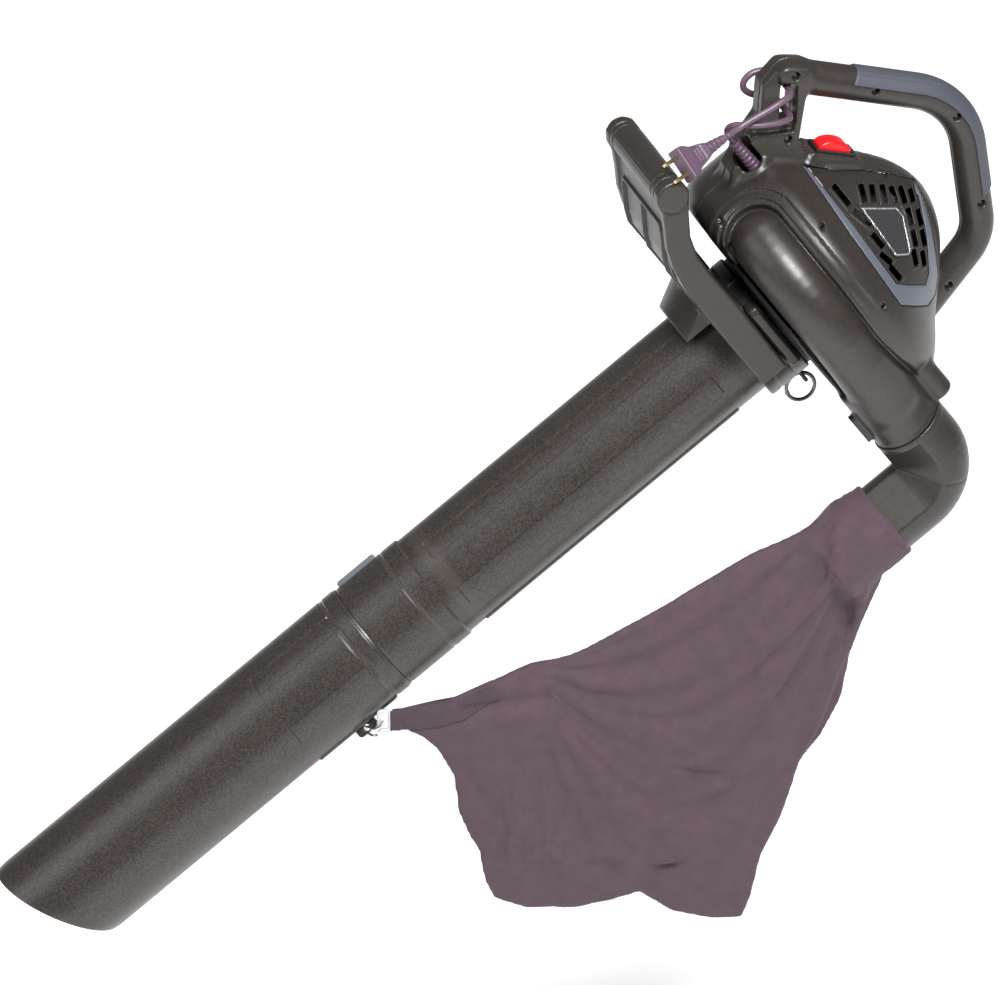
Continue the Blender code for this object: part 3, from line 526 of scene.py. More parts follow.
def housing():
    g = Grid((48, -164, -154), (380, 155, 250), 1.6)
    drum = revolved(g, softened(HOUSING))
    route = duct_route()
    duct = line((g.t, g.l, g.u), route)
    hollow = drum + 3.2
    near_side = ease((-g.l - 20) / 30)
    upper = ease((g.u - 25) / 70 + 0.5)
    drum = drum - 3 * ease((66 - duct) / 5) * near_side * upper
    steps = 3.0 * upper * (ease((55 - duct) / 2.4) + ease((46 - duct) / 2.4)) + 9 * ease((41 - duct) / 9)
    drum = drum + steps * near_side
    hollow = np.maximum(hollow, drum + 4)
    strut = extruded(polygon(g.t, g.u, STRUT), g.l, -19, 19, 4)
    pocket = tilted([(46, 316), (49, 288), (67, 284), (63, 234), (38, 234), (-30, 240), (-30, 316)])
    pocket = polygon(g.t, g.u, pocket)
    pocket = extruded(pocket, g.l, -40, -10.5, 1)
    strut = carve(strut, pocket, 2)
    body = blend(drum, strut, 12)
    loop = np.hypot(line((g.t, g.u), HANDLE), g.l) - GRIP_R
    body = blend(body, loop, 9)
    body = blend(body, duct - DUCT_R, 2.5)
    sleeve = np.hypot(g.t - OUTLET_T, g.l - DUCT_Y)
    body = blend(body, extruded(sleeve - SLEEVE_R, g.u, OUTLET_END, -72, 4), 5)
    ring = extruded(sleeve - 37, g.u, OUTLET_END, OUTLET_END + 3.2, 1)
    body = blend(body, ring, 0.5)
    boss = np.hypot(g.t - 136, g.l - DUCT_Y)
    body = blend(body, extruded(boss - 14, g.u, -141, -100, 3), 6)
    lug = polygon(g.t, g.u, rounded([(36, -96, 9), (36, -130, 10), (66, -130, 0), (66, -96, 0)]))
    body = blend(body, extruded(lug, g.l, DUCT_Y - 8, DUCT_Y + 4, 2), 3)
    body = carve(body, np.hypot(g.l - DUCT_Y, g.u + 121) - 2.6 + 0 * g.t + 50 * (g.t > 60))
    boot = np.hypot(g.t - BOOT_T, g.l - BOOT_Y)
    body = blend(body, extruded(boot - 18, g.u, 131, 151, 3), 5)
    body = carve(body, extruded(boot - 14, g.u, 137, 200), 1)
    window = tilted(rounded([(51, 240, 4), (65, 240, 4), (65, 286, 4), (51, 286, 4)], 4))
    body = carve(body, extruded(polygon(g.t, g.u, window), g.l, -60, 60), 2)
    for x, z, out in SCREWS:
        (place_at,) = tilted([(x, z)])
        body = drilled(body, g, place_at, 4.2, -40, -out + 5.5)
    for t, u, l in ((147, 9, -147), (151, 100, -106), (76, 141, -46)):
        body = drilled(body, g, (t, u), 2.8, -170, l + 7)
    lever = tilted([(109, 201)])[0]
    turn = SLOPE - math.radians(-15)
    along = (g.t - lever[0]) * math.cos(turn) + (g.u - lever[1]) * -math.sin(turn)
    over = (g.t - lever[0]) * math.sin(turn) + (g.u - lever[1]) * math.cos(turn)
    cut = np.maximum(np.maximum(np.abs(along) - 21.3, np.abs(g.l) - 14.3), np.abs(over) - 30)
    hood = np.maximum(np.maximum(np.abs(along) - 27, np.abs(g.l) - 20), np.abs(over + 12) - 12)
    body = blend(body, hood, 8)
    body = carve(body, cut, 1)
    for side in ("near", "far"):
        flat, depth = side_flat(g, side, OPENING)
        body = carve(body, np.maximum(flat - 0.15, (depth if side == "near" else -depth) + 6), 0.6)
    inner = np.minimum(hollow, duct - 27)
    inner = np.minimum(inner, extruded(sleeve - 32, g.u, -170, -80))
    inner = np.minimum(inner, extruded(np.hypot(g.l, g.u) - 105, g.t, 30, 80))
    body = carve(body, inner, 0.5)
    half = int(np.argmin(np.abs(g.l.ravel())))
    near, far = np.maximum(body, g.l + 0.18), np.maximum(body, 0.18 - g.l)
    g.shape = (g.shape[0], half + 3, g.shape[2])
    mesh = skin("near_shell", near[:, :half + 3], g, MACHINE)
    place("near_shell", mesh, body_plastic, "body_plastic", stands_for=["near_housing_half"])
    g.low[1] = g.l.ravel()[half - 3]
    g.shape = (g.shape[0], far.shape[1] - half + 3, g.shape[2])
    mesh = skin("far_shell", far[:, half - 3:], g, MACHINE)
    place("far_shell", mesh, body_plastic, "body_plastic", stands_for=["far_housing_half"])


housing()


def mouth_lean(t, height):
    """How far the slanted mouth moves a station, fading out along the tube."""
    return -0.5 * height * np.clip((t + 700) / -170, 0, 1) ** 1.5


# Panels along the tubes: first and last station, span across the side that faces the user, and height
PANELS_UPPER = [(-358, -30, 16, 36, 1.8), (-358, -31, -40, -22, -1.6)]
PANELS_LOWER = [(-577, -477, 17, 36, 1.8), (-578, -477, -45, -27, -1.5)]


def emboss(stations, angles, radius, panels, edge=1.2):
    """The height of the panels over a tube."""
    total = np.zeros((len(stations), len(angles)))
    for start, end, low, high, height in panels:
        for turn in (0, 1):
            middle, half = (low + high) / 2, (high - low) / 2
            away = radius * np.sin(angles) - middle
            facing = np.cos(angles) > 0
            if turn:
                other = 2 * FACING - math.pi - angles
                away, facing = radius * np.sin(other) - middle, np.cos(other) > 0
            across = ease((half - np.abs(away)) / edge + 0.5) * facing
            along = ease((np.minimum(stations - start, end - stations)) / edge + 0.5)
            total += height * along[:, None] * across[None, :]
    return total


FACING = math.atan2(0.526, -0.85)  # the angle of the tube's side that faces the user, from the second axis


def dense(low, high, step, lines, spread_by=1.0):
    """Values a step apart, with extra ones where edges run."""
    extra = [v + d * spread_by for v in lines for d in (-1.2, -0.6, 0, 0.6, 1.2)]
    plain = [v for v in np.arange(low, high, step) if all(abs(v - e) > step * 0.3 for e in extra)]
    return np.array(sorted([*plain, *[e for e in extra if low <= e <= high], high]))


def tube(name, profile, bore, panels, mouth, slot, pocket=None):
    """A tube from (station, radius) outside and inside, with raised panels, a slanted mouth and a pocket."""
    ends = [v for panel in panels for v in panel[:2]]
    breaks = [t for t, _ in profile[1:-1]]
    if pocket:
        ends += list(pocket[:2])
    stations = dense(profile[0][0], profile[-1][0], 7, ends + breaks)
    radius = np.interp(stations, *zip(*profile))
    sides = []
    for _, _, low, high, _ in panels:
        for v in (low, high):
            at = math.asin(v / radius.mean())
            sides += [at, 2 * FACING - math.pi - at]
    if pocket:
        sides += [pocket[2] + d - FACING for d in (-0.145, 0.145)]
    sides = [(v + math.pi) % (2 * math.pi) - math.pi for v in sides]
    angles = dense(-math.pi, math.pi, 2 * math.pi / 150, sides, 0.016)[:-1]
    outer = radius[:, None] + emboss(stations, angles, radius.mean(), panels)
    if pocket:
        t0, t1, centre, floor = pocket
        off = (angles + FACING - centre + math.pi) % (2 * math.pi) - math.pi
        inside = ease(0.5 - (np.abs(off) - 0.145) / 0.016) * (np.abs(off) < 0.6)
        along = ease(np.minimum(stations - t0, t1 - stations) / 0.8 + 0.5)
        flat = floor / np.maximum(np.cos(off), 0.5)
        outer = outer + (flat[None, :] - outer) * (inside[None, :] * along[:, None])
    rings = []
    inner = np.interp(stations, *zip(*bore))
    lip = np.minimum(stations - stations[0], stations[-1] - stations)
    outer = outer - 0.9 * np.clip(1 - lip[:, None] / 1.3, 0, 1) ** 2

    def ring(t, r):
        turn = angles + FACING
        l, u = r * np.cos(turn), r * np.sin(turn)
        t = np.full(len(angles), t)
        return np.stack([t + (mouth_lean(t, u) if mouth else 0), l, u], -1)

    for t, r in zip(stations, outer):
        rings.append(ring(t, r))
    for t, r in zip(stations[::-1], inner[::-1]):
        rings.append(ring(t, np.full(len(angles), r)))
    return place(name, lofted(name, rings, MACHINE), tube_plastic, "body_plastic", stands_for=[slot])


LATCH = MACHINE @ Matrix.Rotation(math.radians(-31), 4, "X")


def tubes():
    lower = [(-870, 61.3), (-480, 61.3), (-478.6, 60.6), (-475, 60.6), (-473.6, 61.5), (-461.6, 61.5),
             (-460.5, 60.9), (-457.4, 60.9)]
    tube("lower_tube_shell", lower, [(-870, 58.8), (-457, 58.5)], PANELS_LOWER, True, "lower_tube")
    upper = [(-456.9, 60.2), (-402, 60.2), (-400.8, 59.6), (-399, 59.6), (-397.8, 60.2), (-380, 60.2),
             (-377.6, 58.1), (25, 58)]
    pocket = (-453, -405, math.radians(90 - 31), 56.7)
    tube("upper_tube_shell", upper, [(-456.9, 55), (25, 55)], PANELS_UPPER, False, "upper_tube", pocket)
    g = Grid((-536, -5, -76), (-506, 5, -57), 0.6)
    loop = polygon(g.t, g.u, rounded([(-533, -59, 0), (-533, -72, 4), (-509, -72, 4), (-509, -59, 0)]))
    loop = carve(loop, np.hypot(g.t + 521, g.u + 66.6) - 3.3)
    mesh = skin("bag_loop", extruded(loop, g.l, -2.4, 2.4, 1), g, LATCH)
    place("bag_loop", mesh, tube_plastic, "body_plastic")
    g = Grid((-456, -10.5, 56), (-402, 10.5, 67.5), 0.5)
    side = [(-452.2, 58.7), (-452.2, 63.6), (-449, 65), (-409, 65), (-405.8, 63.6), (-405.8, 58.7)]
    button = extruded(polygon(g.t, g.u, side), g.l, -7.8, 7.8, 0.9)
    for k in range(11):
        button = carve(button, np.hypot(g.t + 446 - 3.4 * k, g.u - 65.6) - 1.25 + 0 * g.l, 0.4)
    spring_room = extruded(np.hypot(g.t + 429, g.l) - 4, g.u, 50, 60.2)
    button = carve(button, spring_room, 0.3)
    mesh = skin("latch_button", button, g, LATCH, 1)
    place("latch_button", mesh, soft_grip, "soft_grip", "tube_latch_button", ["tube_latch_button"])


tubes()

ARM = [
    (5, -14), (36, -14), (36.5, 22), (37.5, 76), (37, 125), (38.5, 150), (45, 172), (58, 193), (66, 204),
    (73.5, 214), (73.5, 224), (67, 233), (57, 236.5), (46, 233), (40, 224), (38, 212), (30, 196), (19, 177),
    (12, 157), (8, 135), (5, 98),
]


def front_handle():
    inner = 69.5
    g = Grid((-30, -86, -18), (80, 86, 242), 1.35)
    far = np.abs(g.l)
    arm = polygon(g.t, g.u, ARM)
    cap = np.hypot(g.t - 57, g.u - 220)
    arms = extruded(arm, far, inner, 83, 3)
    arms = blend(arms, extruded(cap - 16, far, inner, 82.6, 1.5), 1)
    arms = carve(arms, extruded(np.abs(cap - 16.6) - 0.5, far, 81.6, 90, 0.2), 0.4)
    saddle = box(g, (6, -inner - 3, -12), (34, inner + 3, 66), 2)
    frame_line = [(7.4, 57), (12.2, 57), (12.2, 141), (18, 155), (44, 199), (38, 203), (13, 161), (7.4, 147)]
    web = extruded(polygon(g.t, g.u, frame_line), g.l, -inner - 2, inner + 2, 1)
    rims = np.abs(polygon(far, g.u, [(0, 76), (56, 76), (60, 84), (60, 186), (56, 192), (0, 192)])) - 1.6
    rims = np.maximum(rims, np.abs(polygon(g.t, g.u, frame_line)) - 3)
    web = blend(web, np.maximum(rims, g.t - 60), 1)
    lip = polygon(g.t, g.u, [(33, 192), (46, 192), (54, 205), (42, 213)])
    lip = extruded(lip, g.l, -inner - 2, inner + 2, 1)
    flare = np.hypot(g.l, g.u) - 72 - 0.52 * (g.t + 26)
    flare = np.maximum(np.maximum(flare, far - 42), np.maximum(np.abs(g.t + 9) - 17, -g.u))
    yoke = joined(arms, (saddle, 4), (web, 3), (lip, 2), (flare, 4))
    yoke = carve(yoke, np.hypot(g.l, g.u) - 69.4 + 0 * g.t, 0.8)
    grip = np.maximum(cap - 16.9, far - inner)
    yoke = carve(yoke, grip, 0.3)
    place("front_yoke", skin("front_yoke", yoke, g, MACHINE), body_plastic, "body_plastic",
          stands_for=["front_handle_frame"])

    profile = [(57, 16.3), (58.5, 15.4), (60.5, 15.4), (62, 16.4), (67.6, 16.4), (69.1, 15.2)]
    profile = [(-l, r) for l, r in reversed(profile)] + profile
    reach = dense(-69.1, 69.1, 3, [l for l, _ in profile[1:-1]])
    rings = []
    turn = np.arange(0, 2 * math.pi, math.pi / 36)
    for l in reach:
        rib = 0.25 * np.cos(turn * 24) * ease((56 - abs(l)) / 2)
        r = np.interp(l, *zip(*profile)) + rib
        rings.append(np.stack([57 + r * np.cos(turn), np.full(72, l), 220 + r * np.sin(turn)], -1))
    core = [np.stack([57 + 9 * np.cos(turn), np.full(72, l), 220 + 9 * np.sin(turn)], -1)
            for l in (69.1, -69.1)]
    place("front_grip", lofted("front_grip", [*rings, *core], MACHINE), body_plastic, "body_plastic",
          stands_for=["front_handle_grip"])

    g = Grid((2, -84, -94), (56, 72, 72), 1.25)
    profile = [(5, 58.4), (5, 67.5), (6.5, 69), (15, 69), (16, 68), (18, 68), (19, 69), (36, 69), (36.5, 68),
               (38, 68), (38.5, 69), (51.5, 69), (53, 67.5), (53, 54.2), (25.4, 54.2), (25.4, 58.4)]
    ring = revolved_ring(g, profile)
    band = box(g, (37.2, -79, -24), (52, -56, 60), 6)
    strip = box(g, (40, -79.9, -18), (49, -70, 54), 1)
    boss = box(g, (37.5, -9.8, -89.6), (41.7, 5.8, -60), 1.2)
    foot = box(g, (8.2, -5.8, -72.3), (15.8, 5.8, -60), 1.2)
    collar = joined(ring, (band, 3), (strip, 0.6), (boss, 2), (foot, 2))
    collar = carve(collar, rod(g, (28, -2, -81), (52, -2, -81), 5.5), 0.6)
    for turn in range(8):
        angle = math.radians(20 + 45 * turn)
        notch = np.hypot(g.l - 69.6 * math.cos(angle), g.u - 69.6 * math.sin(angle)) - 2
        collar = carve(collar, extruded(notch, g.t, 40, 60), 0.5)
    collar = np.maximum(collar, 55.2 - np.hypot(g.l, g.u) - 1.0 * (g.t > 25))
    mesh = skin("collar", collar, g, MACHINE)
    place("collar", mesh, body_plastic, "body_plastic", stands_for=["intake_collar"])


def revolved_ring(grid, profile):
    """A profile that stays clear of the axis, turned round the first axis."""
    radius = np.hypot(grid.l[0], grid.u[0])
    reach = np.arange(0, radius.max() + 1, 0.5)
    table = polygon(grid.t[:, :, 0], reach[None, :], profile)
    return np.stack([np.interp(radius, reach, row) for row in table]).astype(np.float32)


front_handle()


def strap_ring():
    """A round welded ring that passes through the collar's boss."""
    swing = MACHINE @ Matrix.Translation((40, -2, -81)) @ Matrix.Rotation(SLOPE, 4, "Y")
    middle = []
    for k in range(64):
        angle = 2 * math.pi * k / 64
        middle.append((15 * math.sin(angle), 15 * math.cos(angle) - 15))
    rings = []
    for k, (x, z) in enumerate(middle):
        angle = 2 * math.pi * k / 64
        weld = 2 + 0.45 * math.exp(-((k - 44) / 1.3) ** 2)
        turn = np.arange(0, 2 * math.pi, math.pi / 8)
        out = weld * np.cos(turn)
        beside, along = x + out * math.sin(angle), z + out * math.cos(angle)
        rings.append(np.stack([beside, weld * np.sin(turn), along], -1))
    mesh = lofted("steel_ring", rings, swing, 60)
    place("steel_ring", mesh, dark_steel, "steel", "strap_ring", ["strap_ring"])


strap_ring()


# Side covers: grille, trim and rating plate

SLOTS = [
    (206, 51, 199, 39), (214, 43, 206, 32), (222, 35, 214, 23), (228, 27, 222, 15), (235, 20, 229, 7),
    (241, 10, 236, 1), (185, 70, 185, 49), (185, 41, 189, 21), (184, 13, 184, -3), (178, -6, 180, -20),
    (177, -22, 177, -39), (227, 1, 220, -12), (234, -8, 227, -21), (217, -17, 210, -30), (224, -25, 217, -38),
    (205, -31, 198, -44), (211, -40, 204, -52),
]
LABEL = [(192, 40), (220, 12), (220, 1), (203, -29), (199, -30), (188, -19)]


def side_covers():
    g = Grid((157, -152, -92), (256, -18, 112), 0.85)
    dome = revolved(g, softened(HOUSING))
    table_u, table_t = g.u[0], g.t[:, :, 0]
    opening = polygon(table_t, table_u, OPENING)[:, None, :]
    ring = polygon(table_t, table_u, [*TRIM_OUTER, *TRIM_INNER])[:, None, :]
    slots = np.float32(1e9)
    for t0, w0, t1, w1 in SLOTS:
        half = math.hypot(t1 - t0, w1 - w0) / 2
        dt, dw = (t1 - t0) / half / 2, (w1 - w0) / half / 2
        off_t, off_w = table_t - (t0 + t1) / 2, table_u - (w0 + w1) / 2
        bar = np.maximum(np.abs(off_t * dt + off_w * dw) - half + 2.4, np.abs(off_t * dw - off_w * dt) + 0.6)
        slots = np.minimum(slots, bar)
    slots = slots[:, None, :]
    frames = np.abs(slots - 4.7) - 0.7
    cover = np.maximum(dome + 0.4, -dome - 3.2)
    cover = np.maximum(cover - 0.7 * ease((0.6 - frames) / 0.8), opening + 0.15)
    cover = carve(cover, ring - 0.4)
    cover = carve(cover, slots - 3.2, 0.8)
    plate_edge = polygon(table_t, table_u, LABEL)[:, None, :]
    cover = carve(cover, np.maximum(plate_edge - 1.6, -dome - 1.0), 0.5)
    screw = np.hypot(table_t - 231, table_u - 38)[:, None, :]
    cover = carve(cover, np.maximum(screw - 2.4, -dome - 2.4), 0.4)
    trim = np.maximum(np.maximum(dome - 1.1, -dome - 3), ring)
    trim = np.maximum(trim, (dome - 1.1 + ring + 1.2) * 0.75)
    badge = np.maximum(np.maximum(dome - 0.5, -dome - 0.9), plate_edge - 1.1)
    border = np.maximum(np.maximum(dome - 1.0, -dome), np.abs(plate_edge + 1.2) - 0.9)
    for side in ("near", "far"):
        flip = side == "far"
        place(f"{side}_cover", skin(f"{side}_cover", cover, g, GRILLES[side], 1, flip), grille_plastic,
              "body_plastic", stands_for=[f"{side}_vent_grille"])
        place(f"{side}_trim_strip", skin(f"{side}_trim_strip", trim, g, GRILLES[side], 2, flip), trim_paint,
              "soft_grip", stands_for=[f"{side}_trim"])
        place(f"{side}_badge", skin(f"{side}_badge", badge, g, GRILLES[side], 1, flip), plate_black, "label",
              stands_for=[f"{side}_rating_plate"])
        place(f"{side}_badge_border", skin(f"{side}_badge_border", border, g, GRILLES[side], 1, flip),
              silver_paint, "label")


side_covers()


def screw(name, centre, axis, radius, matrix):
    """A pan head with a cross recess."""
    reach = radius + 1.2
    g = Grid((-reach, -reach, -1.6), (reach, reach, 2), 0.28)
    flat = np.hypot(g.t, g.l)
    head = extruded(flat - radius, g.u, -1.3, 1.3, 0.5)
    head = np.maximum(head, np.sqrt(flat * flat + (g.u + radius * 1.4) ** 2) - radius * 1.4 - 1.3)
    cross = np.minimum(np.maximum(np.abs(g.t) - 0.5, np.abs(g.l) - radius * 0.6),
                       np.maximum(np.abs(g.l) - 0.5, np.abs(g.t) - radius * 0.6))
    head = carve(head, np.maximum(cross, -g.u), 0.2)
    turn = Vector(axis).to_track_quat("Z", "Y").to_matrix().to_4x4()
    spot = matrix @ Matrix.Translation(centre) @ turn @ Matrix.Rotation(centre[0] * 0.7, 4, "Z")
    return skin(name, head, g, spot, 1)


def screws():
    for k, (x, z, out) in enumerate(SCREWS):
        name = f"screw_head_{k + 1}"
        place(name, screw(name, (x, -out + 3.9, z), (0, -1, 0), 3.4, UPRIGHT), dark_steel, "steel",
              stands_for=[f"housing_screw_{k + 1}"])
    for k, (t, u, l) in enumerate(((147, 9, -141.6), (151, 100, -100.6), (76, 141, -41))):
        name = f"rim_screw_{k + 1}"
        place(name, screw(name, (t, l, u), (0, -1, 0), 2.5, MACHINE), dark_steel, "steel")


screws()


def handle_pad():
    g = Grid((112, -20.5, 80), (300, 20.5, 330), 1.0)
    route = [(x, z) for x, z in rounded([(64, 288, 0), (245, 238, 78), (268, 86, 50), (196, -2, 0)], 12)]
    middle = line((g.t, g.u), route)
    around = np.hypot(middle, g.l)
    inside = polygon(g.t[:, :, 0], g.u[0], [*route[:-1], (120, 20), (40, 150)])[:, None, :]
    pad = np.maximum(around - 19.2, 15 - around)
    pad = np.maximum(pad, 4 - inside)
    start = -(g.t - 127) + 0.55 * (middle + 0 * g.l) * np.sign(inside) - 4
    end = (132 - g.u) + 0.5 * (middle + 0 * g.l)
    pad = -blend(-pad, -np.maximum(start, end), 1)
    line_groove = np.abs(np.abs(g.l) - 11.5) - 0.5
    pad = carve(pad, np.maximum(line_groove, 18.7 - around), 0.4)
    place("grip_pad", skin("grip_pad", pad, g, UPRIGHT), grip_rubber, "soft_grip", stands_for=["handle_pad"])


handle_pad()


def switch():
    g = Grid((-20, -13, -5), (20, 13, 13.5), 0.5)
    dome = np.sqrt((g.t / 17.4) ** 2 + (np.maximum(g.u - 2, 0) / 9.4) ** 2 + 0 * g.l) - 1
    flat = np.maximum(dome * 9, np.abs(g.t) - 17.4)
    cap = extruded(flat, g.l, -10.4, 10.4, 2.2)
    cap = np.maximum(cap, -3 - g.u)
    for k in range(-3, 4):
        groove = np.hypot(g.t - 2.6 * k, g.u - 2 - 9.4 * math.sqrt(1 - (2.6 * k / 17.4) ** 2) - 0.5) - 0.8
        cap = carve(cap, groove + 0 * g.l + 3 * (np.abs(g.l) > 7), 0.5)
    mesh = skin("rocker", cap, g, SWITCH)
    place("rocker", mesh, switch_red, "switch_red", "power_switch", ["power_switch"])
    g = Grid((-22.5, -15.5, -5), (22.5, 15.5, 4), 0.5)
    bezel = box(g, (-20.9, -13.9, -3.9), (20.9, 13.9, 2.8), 1.2)
    bezel = carve(bezel, box(g, (-18.7, -11.7, -9), (18.7, 11.7, 9), 1.5), 0.6)
    place("switch_surround", skin("switch_surround", bezel, g, SWITCH, 1), dark_plastic, "body_plastic",
          stands_for=["switch_bezel"])


switch()


# Outlet elbow, bag and strap

ELBOW_U, NECK_END = -216.0, 14.0


def elbow():
    """Round on its far side, with moulded facets and a mitre line on the side that faces the user."""
    g = Grid((-14, -142, -258), (133, -58, -139), 1.2)
    bend = [(OUTLET_T - 40 + 40 * math.cos(a), ELBOW_U + 40 - 40 * math.sin(a))
            for a in np.linspace(0, math.pi / 2, 12)]
    flat = [(OUTLET_T, -100), *bend, (-60, ELBOW_U)]
    middle = line((g.t, g.u), flat)
    pipe = np.hypot(middle, g.l - DUCT_Y) - 38.4
    out = g.l - DUCT_Y
    outward = np.sign(polygon(g.t[:, :, 0], g.u[0], [*flat, (-60, -100)]))[:, None, :] * middle
    facet = (-out - outward) * math.sqrt(0.5) - 28.5
    pipe = -blend(-pipe, -facet, 1.2)
    pipe = np.maximum(np.maximum(pipe, g.u + 142.4), -11 - g.t)
    rim = extruded(np.hypot(g.t - OUTLET_T, out) - 38.45, g.u, -149.5, -142.5, 1)
    pipe = blend(pipe, rim, 0.6)
    mitre = np.abs((g.t - OUTLET_T) + (g.u - ELBOW_U) + 0 * g.l) / math.sqrt(2) - 0.6
    shell = np.hypot(middle, g.l - DUCT_Y) - 37.6
    pipe = carve(pipe, np.maximum(mitre, -np.maximum(shell, facet + 0.8)), 0.5)
    pipe = carve(pipe, np.maximum(np.hypot(middle, g.l - DUCT_Y) - 35.4, facet + 3), 0.4)
    place("elbow", skin("elbow", pipe, g, MACHINE), body_plastic, "body_plastic", stands_for=["outlet_elbow"])


elbow()

BAG_Y, BAG_LEAN = -87.0, math.atan(0.098)
BAG = UPRIGHT @ Matrix.Translation((0, BAG_Y, 0)) @ Matrix.Rotation(-BAG_LEAN, 4, "Z")
STRETCH = 1 / math.cos(BAG_LEAN)
OUTLINE = [
    (96, -143), (50, -161), (-5, -182), (-87, -227), (-174, -270), (-268, -308), (-302, -322), (-364, -328),
    (-363, -352), (-337, -363), (-320, -379), (-303, -412), (-299, -452), (-288, -477), (-277, -496),
    (-266, -530), (-255, -551), (-223, -564), (-171, -568), (-134, -563), (-109, -557), (-76, -583),
    (-38, -596), (-3, -600), (6, -575), (15, -529), (35, -488), (47, -451),
    (54, -425), (76, -399), (96, -361), (104, -312), (123, -265), (134, -236),
]
FOLDS = [  # upright (x, z) ends of each fold, how far it stands out towards the user, and its width
    ((104, -170), (98, -278), -9, 8), ((117, -178), (110, -262), 8, 6), ((84, -190), (20, -330), 8, 14),
    ((-294, -332), (-120, -318), -3.5, 6), ((-290, -345), (-215, -345), 3, 7),
    ((-70, -410), (-12, -431), -5, 4.5), ((-75, -400), (-15, -420), 4, 6),
    ((-62, -440), (20, -462), -3, 5), ((-272, -500), (-60, -528), -5, 5),
    ((-262, -488), (-70, -514), 5, 9), ((-195, -470), (-212, -500), -4, 5),
    ((-240, -420), (-180, -455), 4, 14), ((96, -300), (58, -420), 5, 9), ((110, -255), (80, -395), -5, 6),
    ((-110, -540), (-30, -500), -4, 6), ((-180, -300), (-60, -400), 4, 30),
    ((-40, -260), (30, -440), -3, 24), ((-200, -400), (-150, -540), -3, 20),
    ((10, -560), (40, -470), 4, 10), ((-300, -400), (-250, -470), -3, 8),
]


def sack_of(grid):
    """Distance to the empty sack, flat and softly folded, tapering to the strap's corner."""
    t, u = grid.t[:, :, 0], grid.u[0]
    edge = polygon(t, u, [(x * STRETCH, z) for x, z in OUTLINE])[:, None, :]
    offset = np.zeros_like(edge)
    for (x0, z0), (x1, z1), height, width in FOLDS:
        away = line((t, u), [(x0 * STRETCH, z0), (x1 * STRETCH, z1)])[:, None, :]
        offset += height * np.exp(-(away / width) ** 2)
    depth = np.clip(-edge, 0, 200)
    half = (4.5 + 13 * (1 - np.exp(-depth / 38))) * np.clip((grid.t + 372) / 50, 0.2, 1)
    sack = (np.abs(grid.l + offset * np.clip(depth / 14, 0, 1)) - half) * 0.8
    return np.maximum(np.maximum(sack, edge), np.hypot(np.maximum(sack + 5, 0), np.maximum(edge + 5, 0)) - 5)


def bag():
    """Grown as an empty flat sack round its neck, then settled as cloth."""
    g = Grid((-378, -66, -612), (176, 52, -118), 4.2)
    turn = np.array(BAG.inverted() @ MACHINE)
    neck = [(turn @ np.array([t, DUCT_Y, ELBOW_U, 1]))[:3] for t in (-62, -20, NECK_END - 0.5)]
    throat = blend(rod(g, neck[0], neck[2], 41.2, 2), rod(g, neck[1], neck[2], 42.6, 2), 3)
    offsets = [c - a for c, a in zip((g.t, g.l, g.u), neck[2])]
    along = sum(o * d for o, d in zip(offsets, (neck[2] - neck[0]) / 75.5))
    sack = np.maximum(blend(sack_of(g), throat, 22), along - 0.1)
    around = np.sqrt(np.maximum(sum(o * o for o in offsets) - along ** 2, 0))
    hem = np.minimum(np.abs(along + 9), np.abs(along + 22)) - 0.9
    sack = carve(sack, np.maximum(hem, 41.3 - around), 1)
    mesh = skin("leaf_bag", sack, g, BAG, 2)
    obj = place("leaf_bag", mesh, bag_fabric, "bag_fabric", stands_for=["collection_bag", "bag_neck_band"])
    settle(obj)
    finer = obj.modifiers.new("finer", "SUBSURF")
    finer.levels = finer.render_levels = 1


def settle(obj):
    """Cloth, held at the neck and at the strap's corner, that settles and buckles a little."""
    mesh = obj.data
    start = np.empty(len(mesh.vertices) * 3)
    mesh.vertices.foreach_get("co", start)
    start = start.reshape(-1, 3)
    into = np.array(BAG.inverted())
    local = start @ into[:3, :3].T + into[:3, 3]
    corner = np.clip((130 - np.hypot(local[:, 0] + 318, local[:, 2] + 338)) / 60, 0, 1)
    top = np.clip((local[:, 0] - 70) / 30, 0, 1) * np.clip((local[:, 2] + 262) / 26, 0, 1)
    group = obj.vertex_groups.new(name="held")
    for weight in (0.0, 0.25, 0.5, 0.75, 1.0):
        near = np.abs(np.maximum(corner, top) - weight) <= 0.125
        group.add([int(i) for i in np.flatnonzero(near)], weight, "REPLACE")
    cloth = obj.modifiers.new("cloth", "CLOTH")
    settings = cloth.settings
    settings.quality = 6
    settings.mass = 0.25
    settings.tension_stiffness = settings.compression_stiffness = 22
    settings.shear_stiffness = 8
    settings.bending_stiffness = 0.6
    settings.use_pressure = True
    settings.uniform_pressure_force = 1.2
    settings.shrink_min = settings.shrink_max = -0.045
    settings.vertex_group_mass = "held"
    settings.pin_stiffness = 8
    cloth.collision_settings.use_collision = False
    cloth.collision_settings.use_self_collision = False
    scene = bpy.context.scene
    for number in range(1, 26):
        scene.frame_set(number)
    settled = obj.evaluated_get(bpy.context.evaluated_depsgraph_get()).to_mesh()
    moved = np.empty(len(mesh.vertices) * 3)
    settled.vertices.foreach_get("co", moved)
    obj.evaluated_get(bpy.context.evaluated_depsgraph_get()).to_mesh_clear()
    obj.modifiers.remove(cloth)
    scene.frame_set(1)
    change = moved.reshape(-1, 3) - start
    length = np.linalg.norm(change, axis=1)
    cap = 0.011
    change *= (cap * np.tanh(length / cap) / np.maximum(length, 1e-9))[:, None]
    mesh.vertices.foreach_set("co", (start + change).ravel())
    mesh.update()


bag()


